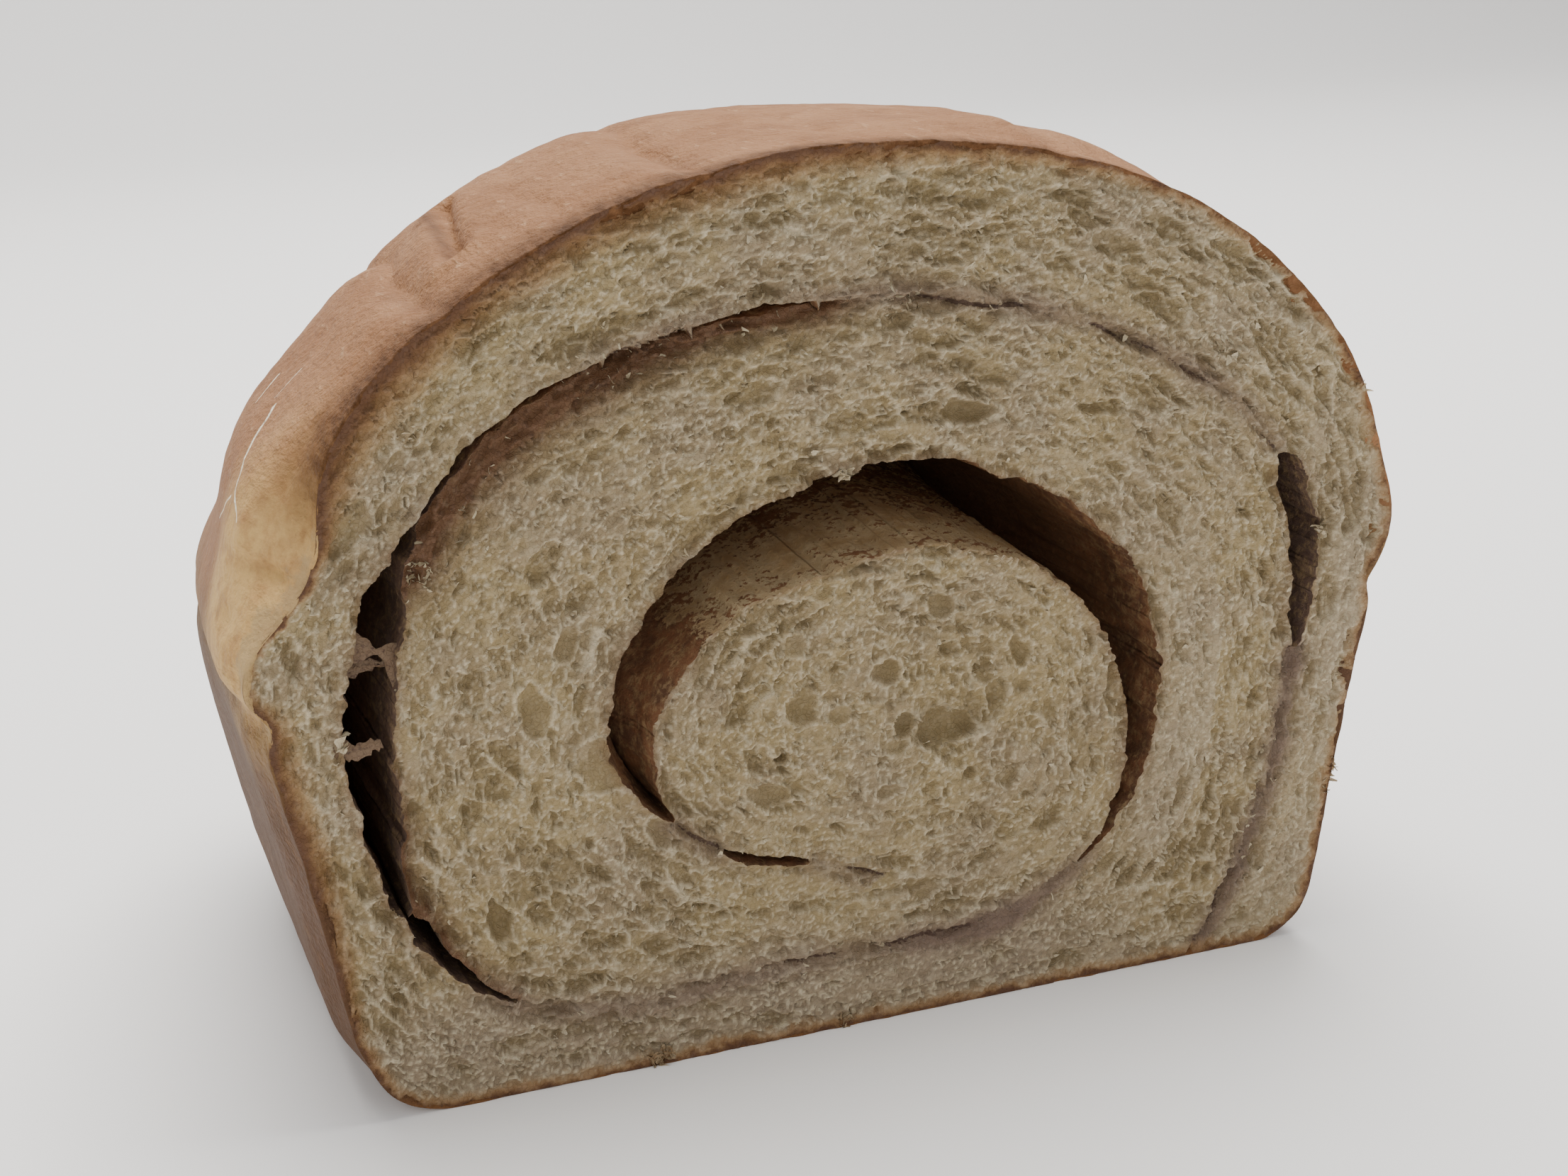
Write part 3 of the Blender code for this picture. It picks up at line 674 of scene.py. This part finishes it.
def crumbRelief(points, along, strength):  # depth below the cut, how much is thin wall, how much is pit
    bend = np.stack([layeredNoise(points, 1.9, 51, 2), layeredNoise(points, 1.9, 52, 2)], 1)
    bent = points + bend * crumb["warp"]
    stretch = 1 + crumb["stretch"] * strength
    coarse = 0.8 + 0.4 * smoothStep(-0.4, 0.5, softNoise(points, 11.0, 57))
    depth = np.zeros(len(points))
    wall = np.zeros(len(points))
    for size, share, deep, seed in crumb["levels"]:
        first, second, owner = crumbCells(bent, size, along, stretch, seed)
        ratio = first / second
        opened = smoothStep(1 - share, 1.2 - share, owner * coarse)
        depth += deep * np.sqrt(np.clip(1 - ratio ** 2.4, 0, 1)) * (0.22 + 0.78 * opened)
        wall = np.maximum(wall, smoothStep(0.8, 0.96, ratio) * (0.25 + 0.75 * opened))
    for x, z, length, height, tilt, deep in largePores:
        turn = math.radians(tilt)
        off = points - [x, z]
        a = (off[:, 0] * math.cos(turn) + off[:, 1] * math.sin(turn)) / (length / 2)
        b = (off[:, 1] * math.cos(turn) - off[:, 0] * math.sin(turn)) / (height / 2)
        far = np.hypot(a, b) * (1 + 0.5 * layeredNoise(points, 1.9, 61, 3))
        hole = np.sqrt(np.clip(1 - far ** 2, 0, 1))
        depth = np.where(far < 1, np.maximum(depth * 0.4, hole * deep + depth * 0.25), depth)
        wall = np.maximum(wall * (0.4 + 0.6 * (far > 1)), bell(far - 1.05, 0.1))
    depth += crumb["fibre"] * fibres(points, along, 0.36, 65)
    torn = wall * smoothStep(0.1, 0.7, softNoise(points, 0.9, 63))
    return depth - crumb["torn"] * torn, np.clip(wall, 0, 1)


def rollSamples(step=0.25):
    last = roll["start"] - roll["step"] * (len(roll["radii"]) - 1)
    headings = np.arange(roll["start"], last, -step)
    line, out = rollFrame(headings)
    return headings, line, out, gapWidth(headings)


class Face:  # where each point of the cut lies to the roll and to the crust
    def __init__(self):
        self.ring = loafSurface(loafOutline(1400), np.full(1400, cutDepth))[:, [0, 2]]
        along = np.roll(self.ring, -1, 0) - np.roll(self.ring, 1, 0)
        self.ringAlong = along / np.linalg.norm(along, axis=1)[:, None]
        self.ringIn = np.stack([-self.ringAlong[:, 1], self.ringAlong[:, 0]], 1)
        self.headings, self.line, self.out, self.gap = rollSamples()

    def measure(self, points):
        self.edge = nearest(points, self.ring)
        self.inside = np.sum((points - self.ring[self.edge]) * self.ringIn[self.edge], 1)
        self.index = nearest(points, self.line)
        self.away = np.sum((points - self.line[self.index]) * self.out[self.index], 1)
        self.half = self.gap[self.index] / 2
        self.heading = self.headings[self.index]
        ragged = layeredNoise(points, 3.2, 71, 4) * smoothStep(0.3, 1.2, self.half) * crumb["raggedEdge"]
        ragged += 0.3 * layeredNoise(points, 1.1, 75, 2) * smoothStep(0.1, 0.6, self.half)
        leftOnly = within(self.heading, *stretches["leftHollow"]) * smoothStep(0.6, 1.4, self.half)
        ragged += (0.35 + 1.2 * softNoise(points, 4.6, 72)) * leftOnly * np.where(self.away < 0, 1.0, 0.6)
        self.clear = np.where(self.half > 0.2, np.abs(self.away) - self.half + ragged, 9.0)


def carveSheet(face):  # a grid cut to the outline and round the hollows, with a snapped edge
    spacing = crumb["spacing"]
    snap = spacing * crumb["snap"]
    low, high = face.ring.min(0), face.ring.max(0)
    columns, rows = np.ceil((high - low) / spacing).astype(int)
    sheet = bmesh.new()
    bmesh.ops.create_grid(sheet, x_segments=int(columns), y_segments=int(rows), size=0.5)
    mesh = bpy.data.meshes.new("sheet")
    sheet.to_mesh(mesh)
    points = (low + high) / 2 + meshPoints(mesh)[:, :2] * [columns * spacing, rows * spacing]
    face.measure(points)
    near = np.abs(face.clear) < snap
    points[near] -= (np.sign(face.away) * face.clear)[near, None] * face.out[face.index[near]]
    rim = np.abs(face.inside) < snap
    points[rim] -= face.inside[rim, None] * face.ringIn[face.edge[rim]]
    gone = ((face.clear < 0) & ~near) | ((face.inside < 0) & ~rim)
    setPoints(mesh, np.stack([points[:, 0], 0 * points[:, 0], points[:, 1]], 1))
    sheet.clear()
    sheet.from_mesh(mesh)
    sheet.verts.ensure_lookup_table()
    bmesh.ops.delete(sheet, geom=[sheet.verts[i] for i in np.nonzero(gone)[0]], context="VERTS")
    bmesh.ops.delete(sheet, geom=[vertex for vertex in sheet.verts if not vertex.link_faces], context="VERTS")
    sheet.to_mesh(mesh)
    points = meshPoints(mesh)[:, [0, 2]] / mm
    border = np.array([vertex.is_boundary for vertex in sheet.verts])
    sheet.free()
    face.measure(points)
    onRim = border & (face.inside < spacing * 1.5)
    onHollow = border & ~onRim
    points[onRim] -= face.inside[onRim, None] * face.ringIn[face.edge[onRim]]
    shift = (np.sign(face.away) * np.clip(face.clear, -1, 1))[:, None] * face.out[face.index]
    points[onHollow] -= shift[onHollow]
    print("crumb: grid carved to", len(points), "points")
    return mesh, points, onRim, onHollow


def faceNumbers(face, points, wall, depth, closed, groove):
    x, z = points[:, 0], points[:, 1]
    rightward = smoothStep(10, 60, x) * smoothStep(-2, 6, face.away)
    stainAndShadowZone = within(face.heading, *stretches["crackStainAndShadow"])
    # partly painted shadow: brown below the overhanging outer layer at the cracks, partly cinnamon stain there
    under = stainAndShadowZone * (face.away < 0) * bell(face.away, 2.4 + 1.8 * smoothStep(-250, -225, face.heading))
    leftWall = within(face.heading, *stretches["leftWall"]) * (face.away < 0)
    rimBrown = np.exp(-np.clip(face.clear, 0, 9) / 0.7) * smoothStep(0.3, 1.5, face.half)
    crustDepth = 1.9 + 3.4 * smoothStep(55, 85, z) * smoothStep(45, -25, x)
    crustDepth += 2.3 * smoothStep(8, 30, z) * smoothStep(-35, -52, x)
    crustDepth *= 1 - 0.8 * bell(z - 56, 9) * (x < -40)
    seam = 0.75 + 0.6 * bell(face.heading + 66, 20) + 0.35 * smoothStep(-335, -350, face.heading)
    leftBrown = leftWall * np.exp(-np.clip(face.clear, 0, 9) / 1.6) * smoothStep(45, 25, z)
    return {
        "wall": wall,
        # pit: how deep a cell is, used only for painted shade in the pits
        "pit": smoothStep(0.25, 1.6, depth),
        "crustNear": face.inside + 0.25 * smoothStep(10, 45, x) * smoothStep(5, 20, z),
        "crustDepth": crustDepth,
        "greyer": 0.8 * smoothStep(16, 6, z) * smoothStep(45, 15, x),
        "blush": rightward * (0.35 + 0.35 * smoothStep(60, 25, z)) * (1 - closed * 0.4),
        "stain": closed * bell(face.away - 0.4, 1.7) * seam,
        "brown": np.clip(under * 1.5 + rimBrown * 0.6 + leftBrown * 0.8, 0, 1),
        "speck": np.clip(groove * 0.8 + rimBrown * 0.35 + under * 0.3, 0, 1),
    }


def makeLining(face, mesh, points, depth, onHollow, material):  # walls run in from the ragged edges and close
    walls = bmesh.new()
    walls.from_mesh(mesh)
    source = walls.verts.layers.int.new("source")
    ringOf = walls.verts.layers.int.new("ring")
    for vertex in walls.verts:
        vertex[source] = vertex.index
    faces = list(walls.faces)
    ring = [edge for edge in walls.edges if edge.is_boundary and all(onHollow[v.index] for v in edge.verts)]
    for number in range(1, len(wallDepths) + 1):
        made = bmesh.ops.extrude_edge_only(walls, edges=ring)["geom"]
        ring = [item for item in made if isinstance(item, bmesh.types.BMEdge)]
        for item in made:
            if isinstance(item, bmesh.types.BMVert):
                item[ringOf] = number
    bmesh.ops.delete(walls, geom=faces, context="FACES_ONLY")
    bmesh.ops.delete(walls, geom=[v for v in walls.verts if not v.link_faces], context="VERTS")
    bmesh.ops.recalc_face_normals(walls, faces=walls.faces)
    number = np.array([vertex[ringOf] for vertex in walls.verts])
    at = np.array([vertex[source] for vertex in walls.verts])
    lining = bpy.data.meshes.new("cinnamon_lining")
    walls.to_mesh(lining)
    walls.free()

    deep = np.array((0.0,) + wallDepths)[number]
    index, start, side = face.index[at], points[at], np.sign(face.away[at])
    heading = face.heading[at]
    early = 6 * smoothStep(135, 180, heading) + 7 * within(heading, *stretches["crackEnds"])
    early += 2.5 * smoothStep(-198, -210, heading) * (heading > -214)
    share = hollowShare(deep * (1 + early))  # shallow where a hollow runs out
    off = np.sum((start - face.line[index]) * face.out[index], 1)
    rough = 0.4 * layeredNoise(np.stack([start[:, 0], deep * 0.5, start[:, 1]], 1), 2.6, 77, 4)
    rough *= smoothStep(0, 3, deep) * smoothStep(57, 50, deep) * smoothStep(0.3, 1.0, face.half[at])
    offset = np.where(share > 0.001, off * share + side * rough, 0)
    flat = start + face.out[index] * (offset - off)[:, None]
    lift = depth[at] * np.exp(-deep / 1.5)
    world = np.stack([flat[:, 0], cutPlane + deep + lift, flat[:, 1]], 1)
    setPoints(lining, world)
    pale = within(heading, *stretches["core"]) * (side < 0)
    cracked = within(heading, *stretches["crackLining"])
    nearEdge = 0.16 * bell(deep - 2.0, 2.2) * (0.4 + 0.6 * smoothStep(120, 80, heading))
    setNumbers(lining, "cover", 0.95 - pale * (0.82 - nearEdge - 0.3 * smoothStep(9.0, 24.0, deep)) - 0.3 * cracked)
    # painted light deep in the hollows, rising from 6 to 20 mm in
    setNumbers(lining, "dim", 0.75 * smoothStep(6.0, 20.0, deep) * (1 - pale))
    ash = within(heading, *stretches["leftAsh"]) + smoothStep(-325, -330, heading)
    setNumbers(lining, "ash", ash * 0.8)
    print("lining:", len(lining.vertices), "points")
    newPiece("cinnamon_lining", lining, material, ("cinnamon_swirl",))


flakes = {
    "scattered": 1100, "length": (0.3, 0.95), "width": (0.25, 0.75), "curl": 0.5, "lump": 1.7,
    "back": 0.12, "foremost": -49.97, "lowest": 0.02,
}
tufts = (  # x, z, spread, count, size, whether it is crust
    (-46.5, 59.2, 1.5, 24, 1.2, 0), (-1.5, 63.3, 1.0, 16, 1.5, 0), (57.0, 50.5, 0.9, 14, 1.6, 0),
    (-54.8, 43.4, 0.7, 10, 1.6, 0), (-46.6, 73.9, 1.4, 8, 1.1, 0), (-20.0, 82.6, 2.4, 14, 1.1, 0),
    (-11.0, 83.6, 2.0, 10, 1.1, 0), (-24.0, 77.6, 2.0, 8, 1.1, 0), (-24.3, 1.0, 1.4, 36, 1.5, 1),
    (-2.4, 0.9, 1.2, 22, 1.2, 1), (62.1, 21.4, 0.7, 12, 1.0, 1), (61.6, 18.6, 0.6, 10, 1.0, 1),
    (62.4, 67.3, 0.8, 12, 1.0, 1), (-36.0, 4.4, 1.2, 10, 1.0, 0), (45.0, 73.0, 1.6, 16, 1.2, 0),
    (6.0, 82.5, 2.5, 22, 1.1, 0),
)


def equalTiles(name, count, columns, rows):  # a mesh of equal grids, and the points of one of them
    tile = bmesh.new()
    bmesh.ops.create_grid(tile, x_segments=columns, y_segments=rows, size=1.0)
    single = bpy.data.meshes.new("tile")
    tile.to_mesh(single)
    corners = meshPoints(single)
    tile.clear()
    for _ in range(count):
        tile.from_mesh(single)
    bpy.data.meshes.remove(single)
    mesh = bpy.data.meshes.new(name)
    tile.to_mesh(mesh)
    tile.free()
    return mesh, corners


def makeFlakes(face, points, depth, wall, numbers, material):  # thin torn bits that stand out of the crumb
    draw = random.Random(41)
    fit = np.nonzero((wall > 0.55) & (face.inside > 1.2) & (face.clear > 0.15))[0]
    spots = [(int(draw.choice(fit)), 1.0, 0) for _ in range(flakes["scattered"])]
    for x, z, spread, count, size, isCrust in tufts:
        distance = np.hypot(points[:, 0] - x, points[:, 1] - z)
        close = np.nonzero(distance < max(spread, distance.min() + 0.5))[0]
        spots += [(int(draw.choice(close)), size, isCrust) for _ in range(count)]
    count = len(spots)
    mesh, corners = equalTiles("crumb_flakes", count, 2, 2)
    each = len(corners)
    rng = np.random.default_rng(17)
    at = np.array([spot[0] for spot in spots])
    size = np.array([spot[1] for spot in spots])
    lump = np.where(size > 1.05, flakes["lump"], 1.0)
    length = rng.uniform(*flakes["length"], count) * size / np.sqrt(lump)
    width = rng.uniform(*flakes["width"], count) * size * lump
    angle = rng.uniform(0, 2 * math.pi, count)
    spread = np.stack([np.cos(angle), rng.uniform(-1.1, -0.25, count), np.sin(angle) * 0.8 + 0.25], 1)
    reach = spread / np.linalg.norm(spread, axis=1)[:, None]
    flip = rng.uniform(0, 2 * math.pi, count)
    across = np.cross(reach, np.stack([np.cos(flip), 0 * flip, np.sin(flip)], 1))
    across /= np.linalg.norm(across, axis=1)[:, None] + 1e-6
    curl = np.cross(reach, across) * rng.uniform(-1, 1, (count, 1)) * flakes["curl"]
    base = np.stack([points[at, 0], cutPlane + depth[at] + flakes["back"], points[at, 1]], 1)
    u, v = corners[:, 0], (corners[:, 1] + 1) / 2
    taper = (1 - 0.75 * v[None] ** rng.uniform(0.8, 2.5, (count, 1))) * rng.uniform(0.75, 1.25, (count, each))
    placed = base[:, None] + across[:, None] * (u * width[:, None] / 2 * taper)[..., None]
    placed += reach[:, None] * (v * length[:, None])[..., None]
    placed += curl[:, None] * ((v ** 2) * length[:, None])[..., None]
    placed += rng.normal(0, 0.035, placed.shape)
    placed[..., 1] = placed[..., 1].clip(flakes["foremost"])
    placed[..., 2] = placed[..., 2].clip(flakes["lowest"])
    setPoints(mesh, placed.reshape(-1, 3))
    isCrust = np.array([spot[2] for spot in spots])
    # flakes take the pale wall colour, partly a painted highlight, and no painted pit shade
    fixed = {"wall": 0.95, "pit": 0.0, "brown": 0.0, "speck": 0.0, "stain": 0.0}
    for name, values in numbers.items():
        own = np.full(count, fixed[name]) if name in fixed else values[at]
        if name == "crustNear":
            own = np.where(isCrust, 1.1, face.inside[at])
        setNumbers(mesh, name, np.repeat(own, each))
    newPiece("crumb_flakes", mesh, material, ("bread",))
    print("flakes:", count)


strands = (  # headings at the outer and the inner wall, share of the way across, depth behind the cut, width
    (-196.8, -195.0, 1.0, 1.4, 6.0), (-193.4, -195.4, 1.0, 2.6, 3.0), (-187.0, -189.5, 0.6, 0.6, 2.6),
)


def makeStrands(material):  # stretched threads of crumb that still bridge the left hollow
    mesh, corners = equalTiles("crumb_strands", len(strands), 18, 6)
    t, u = (corners[:, 0] + 1) / 2, corners[:, 1]
    placed = []
    for number, (outer, inner, share, back, width) in enumerate(strands):
        ends = np.array([outer, inner])
        line, out = rollFrame(ends)
        reach = (gapWidth(ends) / 2 + 0.9)[:, None] * out
        start, end = line[0] + reach[0], line[1] - reach[1]
        across = (end - start) * share
        side = np.array([-across[1], across[0]]) / np.linalg.norm(across)
        waist = 0.2 + 0.9 * np.abs(2 * t - 1) ** 1.5 if share == 1 else 1 - 0.75 * t ** 0.8
        rough = layeredNoise(np.stack([t * 6 + number * 9, u * 2], 1), 1.0, 87, 3)
        sag = (0.6 if share == 1 else -1.2) * np.sin(t * math.pi * (1 if share == 1 else 0.5))
        flat = start + across * t[:, None] + side * (u * width / 2 * waist + sag + rough * 0.7)[:, None]
        y = cutPlane + back - 0.5 * (1 - u ** 2) * waist + rough * 0.3
        placed.append(np.stack([flat[:, 0], y, flat[:, 1]], 1))
    setPoints(mesh, np.vstack(placed))
    count = len(mesh.vertices)
    fixed = {
        # the strands take some painted pit shade too
        "wall": 0.15, "pit": 0.4, "crustNear": 20.0, "crustDepth": 2.0, "greyer": 0.8, "blush": 0.0,
        "stain": 0.6, "brown": 0.5, "speck": 0.5,
    }
    for name, value in fixed.items():
        setNumbers(mesh, name, np.full(count, value))
    newPiece("crumb_strands", mesh, material, ("bread",))
    print("strands:", len(strands))


def makeFace(crumbMaterial, liningMaterial):
    face = Face()
    mesh, points, onRim, onHollow = carveSheet(face)
    samples = np.vstack([face.line[::24], face.ring[::20]])
    tangents = np.vstack([np.stack([-face.out[::24, 1], face.out[::24, 0]], 1), face.ringAlong[::20]])
    along, strength = layerDirection(points, samples, tangents)
    depth, wall = crumbRelief(points, along, strength)
    nearEdge = smoothStep(0.0, 2.0, face.inside)
    nearHollow = smoothStep(0.0, 0.8, face.clear)
    closed = smoothStep(0.9, 0.2, face.half)
    line = bell(face.away - 0.35 * softNoise(points, 4.0, 81), 0.4)
    groove = closed * line * (0.3 + 0.7 * smoothStep(-0.4, 0.5, softNoise(points, 6.0, 82)))
    cracks = within(face.heading, *stretches["cracks"])
    (inner, innerReach), (outer, outerReach) = crumb["crackStep"], crumb["outerStep"]
    step = np.where(face.away < 0, inner * np.exp(face.away / innerReach), outer * np.exp(-face.away / outerReach))
    depth = depth * (0.3 + 0.7 * nearEdge) * (0.45 + 0.55 * nearHollow)
    depth += groove * crumb["groove"] + crumb["sag"] * softNoise(points, 9.0, 91) * nearEdge + cracks * step * nearEdge
    depth = np.clip(depth - crumb["raise"], -cutDepth + 0.05, None)
    depth[onRim] = np.clip(depth[onRim], -0.1, 0.1)
    setPoints(mesh, np.stack([points[:, 0], cutPlane + depth, points[:, 1]], 1))
    numbers = faceNumbers(face, points, wall, depth, closed, groove)
    for name, values in numbers.items():
        setNumbers(mesh, name, values)
    whole = bmesh.new()
    whole.from_mesh(mesh)
    for name, keepLeft in (("crumb_left", True), ("crumb_right", False)):
        half = whole.copy()
        other = [f for f in half.faces if (f.calc_center_median().x < crumb["split"] * mm) != keepLeft]
        bmesh.ops.delete(half, geom=other, context="FACES")
        bmesh.ops.recalc_face_normals(half, faces=half.faces)
        part = bpy.data.meshes.new(name)
        half.to_mesh(part)
        half.free()
        newPiece(name, part, crumbMaterial, ("bread",))
        print(name, len(part.polygons), "faces")
    whole.free()
    makeLining(face, mesh, points, depth, onHollow, liningMaterial)
    makeFlakes(face, points, depth, wall, numbers, crumbMaterial)
    makeStrands(crumbMaterial)


# The stage

stage = {  # sizes in metres
    "floorHalf": 1.4, "sweepStart": 0.75, "sweepRadius": 0.5, "wall": 1.2,
    "colour": (0.94, 0.925, 0.905), "glow": 0.05,
}


def makeStage():
    fin = Finish("stage")
    material = fin.finish(
        Base_Color=stage["colour"], Roughness=0.9, Emission_Color=stage["colour"], Emission_Strength=stage["glow"],
    )
    sheet = bmesh.new()
    start = Vector((-stage["floorHalf"], -stage["floorHalf"], 0))
    profile = [sheet.verts.new(start), sheet.verts.new((start.x, stage["sweepStart"], 0))]
    sheet.edges.new(profile)
    centre = Vector((start.x, stage["sweepStart"], stage["sweepRadius"]))
    made = bmesh.ops.spin(
        sheet, geom=[profile[1]], cent=centre, axis=(1, 0, 0), angle=math.pi / 2, steps=16, use_duplicate=False)
    top = made["geom_last"][0]
    made = bmesh.ops.extrude_vert_indiv(sheet, verts=[top])
    made["verts"][0].co.z += stage["wall"]
    made = bmesh.ops.extrude_edge_only(sheet, edges=list(sheet.edges))
    moved = [item for item in made["geom"] if isinstance(item, bmesh.types.BMVert)]
    bmesh.ops.translate(sheet, vec=(2 * stage["floorHalf"], 0, 0), verts=moved)
    bmesh.ops.recalc_face_normals(sheet, faces=sheet.faces)
    mesh = bpy.data.meshes.new("backdrop")
    sheet.to_mesh(mesh)
    sheet.free()
    for polygon in mesh.polygons:
        polygon.use_smooth = True
    floor = bpy.data.objects.new("backdrop", mesh)
    bpy.context.scene.collection.objects.link(floor)
    mesh.materials.append(material)


# The camera looks from the photograph's side, and its place is in millimetres.
view = {"azimuth": -20.0, "elevation": 18.0, "roll": -1.64, "lens": 54.1, "place": (-89.2, -271.4, 129.8)}


def makeCamera():
    a, e, r = (math.radians(view[key]) for key in ("azimuth", "elevation", "roll"))
    back = Vector((math.sin(a) * math.cos(e), -math.cos(a) * math.cos(e), math.sin(e)))
    right = (-back).cross(Vector((0, 0, 1))).normalized()
    up = back.cross(right)
    x = right * math.cos(r) + up * math.sin(r)
    y = up * math.cos(r) - right * math.sin(r)
    data = bpy.data.cameras.new("camera")
    data.lens = view["lens"]
    data.sensor_width = 36.0
    data.sensor_fit = "HORIZONTAL"
    data.clip_start = 0.01
    camera = bpy.data.objects.new("camera", data)
    turned = Matrix((x, y, back)).transposed().to_4x4()
    camera.matrix_world = Matrix.Translation(Vector(view["place"]) * mm) @ turned
    bpy.context.scene.collection.objects.link(camera)
    bpy.context.scene.camera = camera


sky = {"colour": (0.98, 0.98, 1.0), "strength": 0.52}
lights = {  # places and sizes in metres
    "top": {"place": (0.08, 0.26, 0.85), "size": 0.8, "power": 17.0, "colour": (1.0, 0.985, 0.96)},
    "front": {"place": (-0.25, -0.95, 0.5), "size": 0.9, "power": 2.8, "colour": (1.0, 0.99, 0.97)},
}


def makeLights():
    for name, light in lights.items():
        data = bpy.data.lights.new(name, "AREA")
        data.size = light["size"]
        data.energy = light["power"]
        data.color = light["colour"]
        lamp = bpy.data.objects.new(name, data)
        place = Vector(light["place"])
        aim = (Vector((0, 0, 0.04)) - place).to_track_quat("-Z", "Y").to_matrix().to_4x4()
        lamp.matrix_world = Matrix.Translation(place) @ aim
        bpy.context.scene.collection.objects.link(lamp)
    world = bpy.data.worlds.new("world")
    world.use_nodes = True
    background = world.node_tree.nodes["Background"]
    background.inputs["Color"].default_value = (*sky["colour"], 1)
    background.inputs["Strength"].default_value = sky["strength"]
    bpy.context.scene.world = world


makeCamera()
makeLights()
makeStage()
print("stage set")
crumbLook = crumbFinish()
makeCrust(crustFinish())
makeFace(crumbLook, cinnamonFinish())
